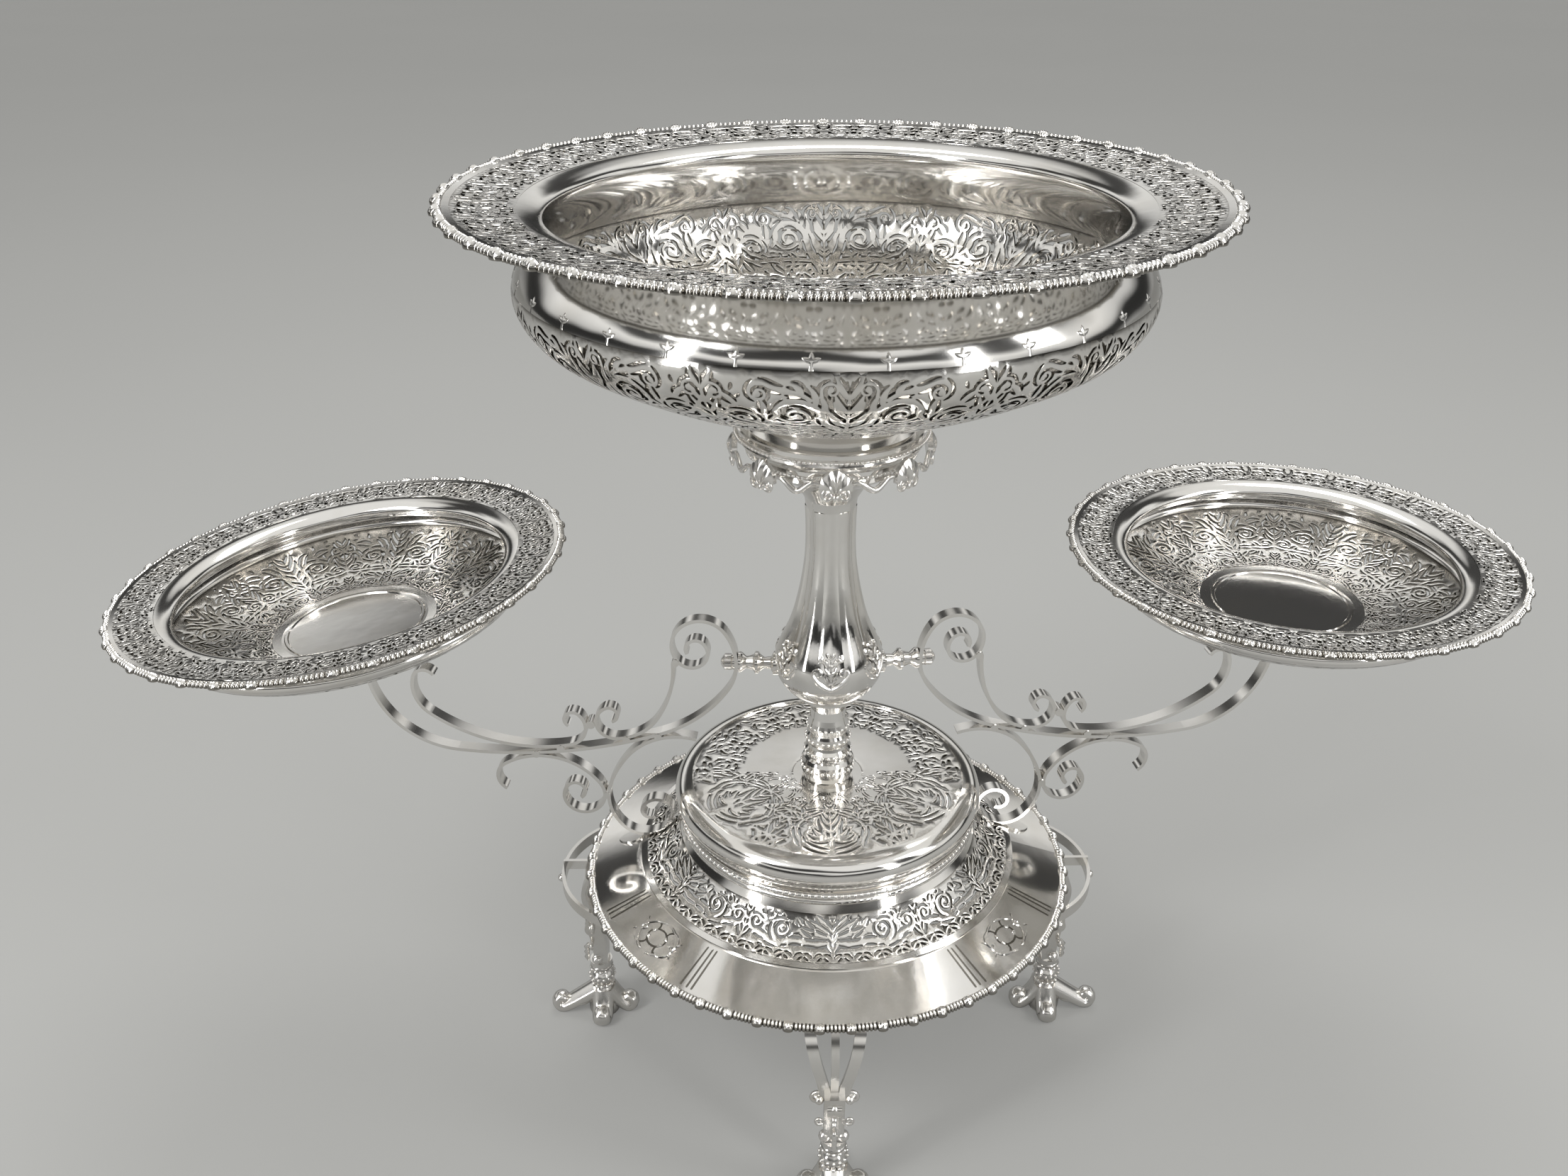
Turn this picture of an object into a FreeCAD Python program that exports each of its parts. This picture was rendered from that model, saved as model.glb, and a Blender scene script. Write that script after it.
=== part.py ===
import FreeCAD, Part
import math
import os

# An epergne of pierced silver: a tall fluted stem on a domed, footed base carries one
# large bowl, and two scroll brackets screwed to the stem's bulb carry a small bowl each.
# Millimetres. The origin is on the stem's axis at the level of the table, +Z is up,
# the four legs stand on the X and Y axes, and the brackets reach towards +X and -X.

# Driving dimensions
SHEET = 1.2                  # gauge of the raised silver sheet
SOLDER_BITE = 0.3            # how far a soldered edge is let in before it is trimmed to fit
RUN_CLEAR = 0.05             # radial clearance of a plug, screw or spigot in its hole

# Central bowl, sizes measured from the axis; heights are above the table
RIM_R = 139.0
RIM_Z = 393.0
RIM_BORDER_W = 4.0
RIM_SHELLS = 52
THROAT_R = 104.0
THROAT_DROP = 4.0
BODY_R = 118.0
BODY_DROP = 32.0
BOWL_DEPTH = 81.0
BOWL_FLOOR_R = 40.0
BOWL_FOOT_R = 34.0
PLUG_R = 13.0
PLUG_H = 11.0

# Side bowls, sizes measured from their own axis and rim
SIDE_RIM_R = 92.2
SIDE_BORDER_W = 3.4
SIDE_SHELLS = 40
SIDE_THROAT_R = 68.0
SIDE_THROAT_DROP = 2.6
SIDE_BODY_R = 77.0
SIDE_BODY_DROP = 13.0
SIDE_DEPTH = 28.5
SIDE_FLOOR_R = 31.0
SIDE_FOOT_R = 14.0
SIDE_FOOT_H = 2.0
SPIGOT_R = 3.2
SPIGOT_H = 5.4
SEAT_R = 8.5
SEAT_H = 7.6

# Base: dome, pierced tier, plain tray and its border
TRAY_R = 105.6
TRAY_Z = 92.0
TRAY_BORDER_W = 3.2
BORDER_DROP = 0.9
TRAY_SHELLS = 54
TIER_EDGE_R = 84.0
TIER_EDGE_Z = 100.4
RING_R = 65.3
RING_TOP_Z = 122.6
RING_H = 6.0
RING_WALL = 3.6
DOME_BULGE_R = 66.2
DOME_TOP_R = 61.0
DOME_TOP_Z = 137.8
DOME_FLAT_R = 14.0

# Stem, from the dome upwards
SPINDLE_TOP_Z = 177.6
SAUCER_R = 13.8
SAUCER_H = 3.6
BULB_R = 22.5
BULB_Z = 196.0
SHAFT_R = 10.2
SHAFT_TOP_Z = 268.0
FLUTES = 6
FLUTE_DEPTH = 0.10           # depth of a flute as a share of the radius it is cut in
FLUTE_STEP = 4.0             # spacing of the sections the stem is lofted through
# outline of the fluted stem: (height, radius, how much of the full flute depth is cut there)
STEM_OUTLINE = [(181.2, 12.8, 0.0), (184.0, 17.6, 0.1), (187.0, 20.3, 0.2), (191.0, 21.9, 0.3),
                (196.0, 22.5, 0.35), (200.0, 22.4, 0.5), (203.0, 21.5, 0.7), (206.4, 20.1, 0.9),
                (213.2, 17.1, 1.0), (219.9, 14.8, 1.0), (226.6, 13.2, 1.0), (233.2, 11.9, 1.0),
                (239.8, 10.9, 1.0), (246.3, 10.2, 1.0), (256.0, 9.9, 1.0), (268.0, 10.2, 1.0)]
BULB_WALL = 6.6
SHAFT_WALL = 3.0
COLLAR_TOP_Z = 304.0
COLLAR_TOP_R = 37.6
COLLAR_LOW_R = 30.7
COLLAR_BORE_DEPTH = 13.0
DROPS = 8
DROP_R = 5.4
DROP_Z = 293.0
ROD_R = 2.5
ROD_NUT_R = 6.0
ROD_NUT_H = 4.0
WASHER_R = 11.0
WASHER_T = 1.6

# Brackets. Azimuths are in degrees from +X, anticlockwise from above
ARMS = {"right": 8.3, "left": 176.0}
DROOP = {"right": 0.0, "left": 6.0}      # how far each side bowl leans outwards, degrees
STRAP_W = 5.5
STRAP_T = 1.6
PIN_Z = 193.3
SPACER_LENGTH = 16.0
SPACER_R = 3.2
SCREW_R = 1.5
SCREW_PITCH = 0.8
SCREW_TURNS = 5
SCREW_HEAD_R = 3.6
SCREW_HEAD_L = 5.2
SCREW_WASHER_R = 3.4
SCREW_WASHER_T = 0.8
TIE_R = 1.7
TIE_OVERHANG = 0.35
FOOT_LEAF_L = 11.0
FOOT_LEAF_W = 8.0
FOOT_LEAF_T = 1.2

# Strap centrelines, each a run of tangent arcs: (radius, degrees turned)
LONG_ARCS = [(23.0, 33.0), (60.0, 37.0), (210.0, 25.5), (40.0, 74.5), (130.0, 8.0)]
TOP_COIL_ARCS = [(27.0, 34.0), (12.5, 182.0), (7.2, 184.0), (4.4, 170.0)]
UPPER_START = (171.6, 183.6)
UPPER_HEADING = 59.0
UPPER_ARCS = [(5.0, 130.0), (17.0, 72.0), (76.0, 48.5), (9.3, 124.0), (3.8, 190.0)]
S_START = (66.5, 192.6)
S_HEADING = -91.0
S_ARCS = [(50.0, 34.0), (23.5, 54.5), (8.1, 156.0), (3.6, 190.0)]
OUTER_START = (144.5, 125.0)
OUTER_HEADING = 33.7
OUTER_ARCS = [(8.0, 113.5), (31.0, 89.7), (10.3, 110.2), (8.7, 145.3), (4.3, 197.3)]
FOOT_START = (57.6, 154.4)
FOOT_HEADING = 16.0
FOOT_ARCS = [(29.3, 65.6), (49.2, 21.4), (23.0, 60.8), (13.1, 130.2), (7.0, 174.2), (3.7, 139.0)]

# Legs and the two side handles
LEG_COUNT = 4
LEG_INSET = 2.6
LEG_TOP_R = TRAY_R - LEG_INSET
LEG_TOP_HALF = 10.2
LEG_NECK_Z = 56.0
LEG_NECK_HALF = 3.6
LEG_STRAP_W = 4.6
LEG_STRAP_T = 2.0
ANKLE_OUT = 4.0
ANKLE_R = LEG_TOP_R + ANKLE_OUT
ANKLE_Z = 30.0
ANKLE_HALF = 4.2
FOOT_PAD_R = 7.0
TOE_R = 6.4
TOE_OUT = 24.0
TOE_SIDE = 14.0
TOE_IN = 15.5
CURL_ARCS = [(3.4, 150.0), (1.9, 150.0)]
HANDLE_REACH = 14.9
HANDLE_OUT_R = TRAY_R + HANDLE_REACH
HANDLE_RADIUS = 38.0
HANDLE_DROP = 9.0
HANDLE_Z = TRAY_Z - HANDLE_DROP
HANDLE_W = 5.5
HANDLE_T = 1.6
HANDLE_LUG_L = 4.0
HANDLE_HALF_ANGLE = 71.5
HANDLE_LUG_ANGLE = 7.5
HANDLE_BALL_R = 1.9

# Plain round openings where the sheet is pierced: ring radius, opening radius, number, first angle, span
BOWL_WINDOWS = [(BODY_R - 22.0, 6.0, 24, 0.0, 360.0), (BODY_R - 37.5, 6.8, 16, 0.0, 360.0),
                (BODY_R - 54.0, 5.4, 16, 0.0, 360.0)]
SIDE_WINDOWS = [(SIDE_BODY_R - 16.0, 4.6, 20, 0.0, 360.0), (SIDE_BODY_R - 29.0, 4.4, 16, 0.0, 360.0)]
TIER_WINDOWS = [(TIER_EDGE_R - 9.0, 3.4, 24, 0.0, 360.0)]
DOME_WINDOWS = [(DOME_TOP_R - 11.5, 6.0, 16, 0.0, 360.0), (DOME_TOP_R - 31.0, 5.0, 6, 180.0, 180.0)]

OUT = "parts"


def vec(x, y, z):
    return FreeCAD.Vector(x, y, z)


ORIGIN = vec(0, 0, 0)
X_AXIS = vec(1, 0, 0)
Y_AXIS = vec(0, 1, 0)
Z_AXIS = vec(0, 0, 1)


def save(node, shape):
    """Write one sub-part."""
    shape.exportStep(os.path.join(OUT, node + ".step"))


# Turned and raised work
def line(a, b):
    return Part.makeLine(vec(a[0], 0, a[1]), vec(b[0], 0, b[1]))


def smooth(points):
    """A smooth edge through (radius, height) points."""
    curve = Part.BSplineCurve()
    curve.interpolate([vec(r, 0, z) for r, z in points])
    return curve.toShape()


def spin(edges):
    """Turn a closed outline in the XZ plane about the Z axis."""
    wire = Part.Wire(Part.__sortEdges__(edges))
    return Part.Face(wire).revolve(ORIGIN, Z_AXIS, 360)


def turned(points):
    """A turned piece whose outline has straight sides."""
    loop = list(points) + [points[0]]
    return spin([line(a, b) for a, b in zip(loop, loop[1:])])


def offset_points(points, gauge):
    """The same outline moved sideways by the sheet's gauge, to the left of its direction."""
    moved = []
    last = len(points) - 1
    for i, (r, z) in enumerate(points):
        before = points[max(i - 1, 0)]
        after = points[min(i + 1, last)]
        dr, dz = after[0] - before[0], after[1] - before[1]
        length = math.hypot(dr, dz)
        moved.append((r - gauge * dz / length, z + gauge * dr / length))
    return moved


def raised(points, gauge):
    """Raised sheet that follows an outer outline, listed from its rim inwards and down."""
    inner = offset_points(points, gauge)
    edges = [smooth(points), line(points[-1], inner[-1]), smooth(inner), line(inner[0], points[0])]
    return spin(edges)


def ring(radius, height, section_r):
    return Part.makeTorus(radius, section_r, vec(0, 0, height), Z_AXIS)


def disc(radius, low, high, bore=0.0):
    """A round plate between two heights, with an optional bore."""
    plate = Part.makeCylinder(radius, high - low, vec(0, 0, low))
    if bore > 0:
        plate = plate.cut(Part.makeCylinder(bore, high - low, vec(0, 0, low)))
    return plate


def pierced(sheet, windows):
    """Sheet with rings of plain round openings cut straight down through it."""
    tools = []
    for radius, hole_r, count, first, span in windows:
        for i in range(count):
            angle = math.radians(first + span * (i + 0.5) / count)
            start = vec(radius * math.cos(angle), radius * math.sin(angle), -RIM_Z)
            tools.append(Part.makeCylinder(hole_r, 2 * RIM_Z, start))
    return sheet.cut(tools)


def shell_border(edge_r, width, thickness, low, shells):
    """A cast rim: a flat ring with a bead on it and a scalloped edge of small shells."""
    tip_r = edge_r + width
    valley_r = edge_r + 0.62 * width
    pitch = 2 * math.pi / shells
    shell_half = 0.30 * pitch
    edges = []
    for i in range(shells):
        mid = i * pitch
        corners = []
        for angle, radius in ((mid - shell_half, valley_r), (mid, tip_r),
                              (mid + shell_half, valley_r), (mid + pitch / 2, valley_r + 0.12 * width),
                              (mid + pitch - shell_half, valley_r)):
            corners.append(vec(radius * math.cos(angle), radius * math.sin(angle), low))
        edges.append(Part.Arc(corners[0], corners[1], corners[2]).toShape())
        edges.append(Part.Arc(corners[2], corners[3], corners[4]).toShape())
    inner = Part.Wire(Part.makeCircle(edge_r, vec(0, 0, low)))
    face = Part.Face([Part.Wire(edges), inner])
    plate = face.extrude(vec(0, 0, thickness))
    bead_r = 0.26 * width
    bead = ring(edge_r + 0.32 * width, low + thickness - 0.2, bead_r)
    return plate.fuse(bead).removeSplitter()


# Scroll straps
def arc_chain(start, heading, arcs, turn):
    """Centreline of tangent arcs in the bracket's plane, as (centre, radius, from, to) in
    radians. turn is 1 for a left turn and -1 for a right turn."""
    x, z = start
    angle = math.radians(heading)
    chain = []
    for radius, degrees in arcs:
        sweep = turn * math.radians(degrees)
        cx = x - turn * radius * math.sin(angle)
        cz = z + turn * radius * math.cos(angle)
        begin = angle - turn * math.pi / 2
        chain.append((cx, cz, radius, begin, begin + sweep, turn))
        angle += sweep
        x = cx + radius * math.cos(begin + sweep)
        z = cz + radius * math.sin(begin + sweep)
    return chain


def chain_point(chain, index, share):
    """A point part of the way along one arc of a chain, and the direction there."""
    cx, cz, radius, begin, end, turn = chain[index]
    angle = begin + share * (end - begin)
    return (cx + radius * math.cos(angle), cz + radius * math.sin(angle)), angle + turn * math.pi / 2


def chain_samples(chain, per_arc=40):
    return [chain_point(chain, i, k / per_arc)[0] for i in range(len(chain)) for k in range(per_arc + 1)]


def strap_side(chain, shift):
    """One long edge of a strap: every arc of the centreline, moved sideways by shift."""
    edges = []
    for cx, cz, radius, begin, end, turn in chain:
        r = radius - turn * shift
        spots = []
        for share in (0.0, 0.5, 1.0):
            angle = begin + share * (end - begin)
            spots.append(vec(cx + r * math.cos(angle), 0, cz + r * math.sin(angle)))
        edges.append(Part.Arc(spots[0], spots[1], spots[2]).toShape())
    return edges


def strap(chain, width=STRAP_W, thickness=STRAP_T):
    """A flat strap on edge, centred on the bracket's plane."""
    left = strap_side(chain, thickness / 2)
    right = strap_side(chain, -thickness / 2)
    ends = []
    for index, vertex in ((0, 0), (-1, -1)):
        a = left[index].Vertexes[vertex].Point
        b = right[index].Vertexes[vertex].Point
        ends.append(Part.makeLine(a, b))
    wire = Part.Wire(Part.__sortEdges__(left + right + ends))
    body = Part.Face(wire).extrude(vec(0, width, 0))
    body.translate(vec(0, -width / 2, 0))
    return body


def nearest_gap(chain_a, chain_b):
    """Where two straps pass closest: the middle of the gap, and the gap."""
    best = None
    for pa in chain_samples(chain_a):
        for pb in chain_samples(chain_b):
            gap = math.hypot(pa[0] - pb[0], pa[1] - pb[1])
            if best is None or gap < best[1]:
                best = (((pa[0] + pb[0]) / 2, (pa[1] + pb[1]) / 2), gap)
    return best


def tie(chain_a, chain_b):
    """A short round collar across two straps where they pass closest."""
    (x, z), gap = nearest_gap(chain_a, chain_b)
    radius = max(TIE_R, (gap - STRAP_T) / 2 + SOLDER_BITE)
    half = STRAP_W / 2 + TIE_OVERHANG
    return Part.makeCylinder(radius, 2 * half, vec(x, -half, z), Y_AXIS)


# Base
def dome_outline():
    """Outer face of the dome, from the flat on top outwards and down to its foot."""
    foot_r = RING_R - RING_WALL
    top = DOME_TOP_Z
    bulge = DOME_BULGE_R
    return [(DOME_FLAT_R, top), (30.0, top + 0.3), (46.0, top + 0.3), (DOME_TOP_R - 5.0, top),
            (DOME_TOP_R, top - 0.7), (bulge - 1.6, top - 2.4), (bulge, top - 5.6), (bulge - 0.6, top - 9.4),
            (foot_r + 1.6, RING_TOP_Z + 2.2), (foot_r, RING_TOP_Z - 1.0), (foot_r, RING_TOP_Z - RING_H / 2)]


def make_dome():
    outer = dome_outline()
    inner = offset_points(outer, -SHEET)
    low = DOME_TOP_Z - SHEET
    inner[0] = (DOME_FLAT_R, low)
    bore = ROD_R + RUN_CLEAR
    edges = [smooth(outer), line(outer[-1], inner[-1]), smooth(inner), line(inner[0], (bore, low)),
             line((bore, low), (bore, DOME_TOP_Z)), line((bore, DOME_TOP_Z), outer[0])]
    return pierced(spin(edges), DOME_WINDOWS)


def make_dome_ring():
    """A turned ring with two reeds, which binds the dome to the tier."""
    inner_r = RING_R - RING_WALL
    low = RING_TOP_Z - RING_H
    body_r = RING_R - 1.2
    body = disc(body_r, low, RING_TOP_Z - 0.6, inner_r)
    for height in (RING_TOP_Z - 1.7, RING_TOP_Z - 4.3):
        body = body.fuse(ring(body_r - 0.2, height, 1.4))
    keep = disc(RING_R + 2, low, RING_TOP_Z, inner_r)
    return body.common(keep)


def tier_outline():
    top_z = RING_TOP_Z - RING_H
    return [(TIER_EDGE_R, TIER_EDGE_Z), (TIER_EDGE_R - 4.0, TIER_EDGE_Z + 1.0),
            (TIER_EDGE_R - 9.0, TIER_EDGE_Z + 3.0), (TIER_EDGE_R - 14.0, TIER_EDGE_Z + 7.4),
            (RING_R - 1.6, top_z)]


def make_tier():
    """The pierced cove between the dome's ring and its own rounded edge."""
    outer = tier_outline()
    inner = offset_points(outer, -SHEET)
    inner[0] = (outer[0][0], outer[0][1] - SHEET)
    inner[-1] = (outer[-1][0] - SHEET, outer[-1][1])
    edges = [smooth(outer), line(outer[-1], inner[-1]), smooth(inner), line(inner[0], outer[0])]
    return pierced(spin(edges), TIER_WINDOWS)


def tray_z(r):
    """Height of the plain band's upper face at a radius."""
    top = TIER_EDGE_Z - SHEET
    share = (r - TIER_EDGE_R) / (TRAY_R - TIER_EDGE_R)
    return top + share * (TRAY_Z - top)


def make_tray():
    """The plain sloping band, seated under the tier's edge."""
    inner_r = TIER_EDGE_R - 10.0
    seat_z = TIER_EDGE_Z - SHEET
    flat_r = TIER_EDGE_R
    return turned([(TRAY_R, TRAY_Z), (flat_r, seat_z), (inner_r, seat_z), (inner_r, seat_z - SHEET),
                   (flat_r, seat_z - SHEET), (TRAY_R, TRAY_Z - SHEET)])


# Stem
def make_spindle():
    """The turned and beaded lower part of the stem, standing on the dome."""
    z0 = DOME_TOP_Z
    profile = [(10.4, z0), (11.0, z0 + 1.2), (11.4, z0 + 3.4), (11.4, z0 + 8.8), (10.6, z0 + 10.4),
               (9.4, z0 + 11.2), (9.4, z0 + 12.0), (10.0, z0 + 12.8), (10.0, z0 + 14.6), (8.9, z0 + 15.8),
               (8.5, z0 + 17.2), (9.3, z0 + 18.6), (9.7, z0 + 20.2), (9.3, z0 + 22.0), (8.5, z0 + 23.2),
               (8.9, z0 + 25.0), (9.2, z0 + 26.6), (8.6, z0 + 28.6), (8.0, z0 + 31.0), (7.6, z0 + 35.0),
               (8.0, z0 + 38.4), (8.6, SPINDLE_TOP_Z)]
    bore = ROD_R + RUN_CLEAR
    return turned([(bore, z0)] + profile + [(bore, SPINDLE_TOP_Z)])


def make_saucer():
    """The small dished knop under the bulb."""
    z0 = SPINDLE_TOP_Z
    bore = ROD_R + RUN_CLEAR
    top = z0 + SAUCER_H
    return turned([(bore, z0), (9.4, z0), (SAUCER_R - 1.0, z0 + 1.4), (SAUCER_R, z0 + 2.2),
                   (SAUCER_R, top - 0.6), (SAUCER_R - 0.8, top), (bore, top)])


def outline_at(height):
    """Radius and flute share of the stem at a height, on a smooth curve through its outline."""
    points = STEM_OUTLINE
    last = len(points) - 1
    i = max(k for k in range(last) if points[k][0] <= height or k == 0)
    values = []
    for field in (1, 2):
        slopes = []
        for k in (i, i + 1):
            low, high = points[max(k - 1, 0)], points[min(k + 1, last)]
            slopes.append((high[field] - low[field]) / (high[0] - low[0]))
        span = points[i + 1][0] - points[i][0]
        t = (height - points[i][0]) / span
        rise = (1 + 2 * t) * (1 - t) ** 2 * points[i][field] + t * t * (3 - 2 * t) * points[i + 1][field]
        lean = t * (1 - t) ** 2 * slopes[0] - t * t * (1 - t) * slopes[1]
        values.append(rise + span * lean)
    return values[0], min(max(values[1], 0.0), 1.0)


def fluted_section(height):
    """A round section with alternate hollow flutes and raised reeds."""
    radius, share = outline_at(height)
    step = math.pi / FLUTES
    edges = []
    for i in range(2 * FLUTES):
        # flutes are centred where i is even, starting towards the front
        start = -math.pi / 2 + (i - 0.5) * step
        depth = share * FLUTE_DEPTH * radius
        middle = radius - depth if i % 2 == 0 else radius + 0.3 * depth
        pull = 2 * middle - radius * math.cos(step / 2)
        poles = []
        for angle, r in ((start, radius), (start + step / 2, pull), (start + step, radius)):
            poles.append(vec(r * math.cos(angle), r * math.sin(angle), height))
        curve = Part.BezierCurve()
        curve.setPoles(poles)
        edges.append(curve.toShape())
    return Part.Wire(edges)


def make_stem():
    """Fluted shaft and bulb in one casting, hollow, bored for the tie rod and the two screws."""
    low, high = STEM_OUTLINE[0][0], STEM_OUTLINE[-1][0]
    count = int(round((high - low) / FLUTE_STEP))
    levels = [low, low + FLUTE_STEP / 3] + [low + (high - low) * i / count for i in range(1, count + 1)]
    body = Part.makeLoft([fluted_section(z) for z in levels], True, False)
    rod = ROD_R + RUN_CLEAR
    core = turned([(0.0, low), (rod, low), (rod, low + 4.0), (8.0, low + 5.0),
                   (BULB_R - BULB_WALL, BULB_Z - 4.0), (BULB_R - BULB_WALL, BULB_Z + 2.0),
                   (SHAFT_R - SHAFT_WALL, BULB_Z + 26.0), (SHAFT_R - SHAFT_WALL, high - 8.0),
                   (rod, high - 6.0), (rod, high), (0.0, high)])
    body = body.cut(core)
    for azimuth in ARMS.values():
        hole = Part.makeCylinder(SCREW_R + RUN_CLEAR, BULB_R, vec(10.0, 0, PIN_Z), X_AXIS)
        hole.rotate(ORIGIN, Z_AXIS, azimuth)
        body = body.cut(hole)
    return body


def make_collar():
    """The stepped collar under the large bowl, with a bore for the bowl's plug."""
    z0 = SHAFT_TOP_Z
    low_z = COLLAR_TOP_Z - 16.4
    bore = PLUG_R + RUN_CLEAR
    floor_z = COLLAR_TOP_Z - COLLAR_BORE_DEPTH
    rod = ROD_R + RUN_CLEAR
    outline = [(rod, z0), (SHAFT_R, z0), (SHAFT_R + 0.6, z0 + 4.0), (15.0, z0 + 11.0), (24.0, low_z - 3.0),
               (COLLAR_LOW_R - 1.0, low_z), (COLLAR_LOW_R + 0.6, low_z + 1.4), (COLLAR_LOW_R, low_z + 3.0),
               (COLLAR_LOW_R + 2.2, low_z + 4.2), (COLLAR_LOW_R + 3.4, low_z + 6.0),
               (COLLAR_LOW_R + 3.4, low_z + 7.6), (COLLAR_TOP_R - 1.4, low_z + 9.4),
               (COLLAR_TOP_R - 0.4, low_z + 11.2), (COLLAR_TOP_R - 1.2, low_z + 13.0),
               (COLLAR_TOP_R, low_z + 14.4), (COLLAR_TOP_R, COLLAR_TOP_Z - 0.4),
               (COLLAR_TOP_R - 0.6, COLLAR_TOP_Z), (bore, COLLAR_TOP_Z), (bore, floor_z), (rod, floor_z)]
    return turned(outline)


def make_drops(collar):
    """Eight cast shells on the collar's edge, joined by nothing but the collar."""
    drops = []
    for i in range(DROPS):
        azimuth = -90.0 + i * 360.0 / DROPS
        out_r = COLLAR_TOP_R + 0.6
        shell = Part.makeSphere(DROP_R, vec(0, 0, 0))
        flatten = FreeCAD.Matrix()
        flatten.scale(0.52, 1.0, 1.12)
        shell = shell.transformGeometry(flatten)
        shell.translate(vec(out_r, 0, DROP_Z))
        shell.rotate(ORIGIN, Z_AXIS, azimuth)
        drops.append(shell.cut(collar))
    return Part.makeCompound(drops)


def make_rod():
    """The tie rod that pulls stem and base together, with its upper head in the collar."""
    head_low = COLLAR_TOP_Z - COLLAR_BORE_DEPTH
    low = DOME_TOP_Z - SHEET - WASHER_T - ROD_NUT_H - 2.0
    rod = Part.makeCylinder(ROD_R, head_low - low, vec(0, 0, low))
    head = disc(ROD_R + 2.5, head_low, head_low + 1.6)
    return rod.fuse(head).removeSplitter()


def make_rod_washer():
    top = DOME_TOP_Z - SHEET
    return disc(WASHER_R, top - WASHER_T, top, ROD_R + RUN_CLEAR)


def make_rod_nut():
    top = DOME_TOP_Z - SHEET - WASHER_T
    points = []
    for i in range(7):
        angle = math.radians(60 * i)
        points.append(vec(ROD_NUT_R * math.cos(angle), ROD_NUT_R * math.sin(angle), top - ROD_NUT_H))
    body = Part.Face(Part.makePolygon(points)).extrude(vec(0, 0, ROD_NUT_H))
    return body.cut(Part.makeCylinder(ROD_R, ROD_NUT_H, vec(0, 0, top - ROD_NUT_H)))


# Bowls
def central_outline():
    z = RIM_Z
    floor_z = z - BOWL_DEPTH
    body_z = z - BODY_DROP
    throat_z = z - THROAT_DROP
    return [(RIM_R, z - SHEET), (0.5 * (RIM_R + THROAT_R), z - SHEET - 0.62 * THROAT_DROP),
            (THROAT_R + 5.0, throat_z - SHEET - 0.2), (THROAT_R + 1.6, throat_z - 3.4),
            (THROAT_R + 3.4, throat_z - 9.0), (THROAT_R + 10.0, throat_z - 18.0), (BODY_R, body_z),
            (BODY_R - 6.0, body_z - 14.0), (BODY_R - 18.0, body_z - 22.4), (BODY_R - 33.0, body_z - 30.2),
            (BODY_R - 48.0, body_z - 37.0), (BODY_R - 63.0, body_z - 43.4), (BOWL_FLOOR_R, floor_z)]


def bowl_shell(outer, floor_z):
    """A bowl of raised sheet with a flat floor; the outline is its outer face, rim first."""
    inner = offset_points(outer, -SHEET)
    inner[0] = (outer[0][0], outer[0][1] + SHEET)
    inner[-1] = (outer[-1][0], outer[-1][1] + SHEET)
    edges = [smooth(outer), line(outer[-1], (0.0, floor_z)), line((0.0, floor_z), (0.0, floor_z + SHEET)),
             line((0.0, floor_z + SHEET), inner[-1]), smooth(list(reversed(inner))), line(inner[0], outer[0])]
    return spin(edges)


def make_central_foot():
    """The large bowl's foot ring and the plug that seats in the collar."""
    top = RIM_Z - BOWL_DEPTH
    low = COLLAR_TOP_Z
    foot = turned([(0.0, top), (BOWL_FOOT_R, top), (BOWL_FOOT_R - 1.6, low + 2.4), (BOWL_FOOT_R, low),
                   (0.0, low)])
    plug = Part.makeCylinder(PLUG_R, PLUG_H, vec(0, 0, low - PLUG_H))
    return foot.fuse(plug).removeSplitter()


def side_outline():
    """Outer face of a side bowl, from its own rim plane at height zero."""
    floor_z = -SIDE_DEPTH
    return [(SIDE_RIM_R, -SHEET), (0.5 * (SIDE_RIM_R + SIDE_THROAT_R), -SHEET - 0.62 * SIDE_THROAT_DROP),
            (SIDE_THROAT_R + 3.4, -SHEET - SIDE_THROAT_DROP), (SIDE_THROAT_R + 1.6, -SIDE_THROAT_DROP - 3.0),
            (SIDE_THROAT_R + 5.0, -SIDE_THROAT_DROP - 6.6), (SIDE_BODY_R, -SIDE_BODY_DROP),
            (SIDE_BODY_R - 6.0, floor_z + 9.0), (SIDE_BODY_R - 19.0, floor_z + 4.2),
            (SIDE_BODY_R - 33.0, floor_z + 1.2), (SIDE_FLOOR_R, floor_z)]


def make_side_foot():
    """A side bowl's foot ring and spigot, below its own rim plane."""
    top = -SIDE_DEPTH
    foot = disc(SIDE_FOOT_R, top - SIDE_FOOT_H, top)
    spigot = Part.makeCylinder(SPIGOT_R, SPIGOT_H, vec(0, 0, top - SIDE_FOOT_H - SPIGOT_H))
    return foot.fuse(spigot).removeSplitter()


def make_seat():
    """The turned cup on the bracket's end, from height zero down; its bore takes the spigot."""
    bore = SPIGOT_R + RUN_CLEAR
    cup = turned([(0.0, 0.0), (SEAT_R, 0.0), (SEAT_R, -1.6), (SEAT_R - 2.6, -3.4), (SEAT_R - 3.2, -6.0),
                  (SEAT_R - 1.6, -7.6), (SEAT_R - 3.0, -SEAT_H), (0.0, -SEAT_H)])
    return cup.cut(Part.makeCylinder(bore, SPIGOT_H + 0.6, vec(0, 0, -SPIGOT_H - 0.6)))


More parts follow.
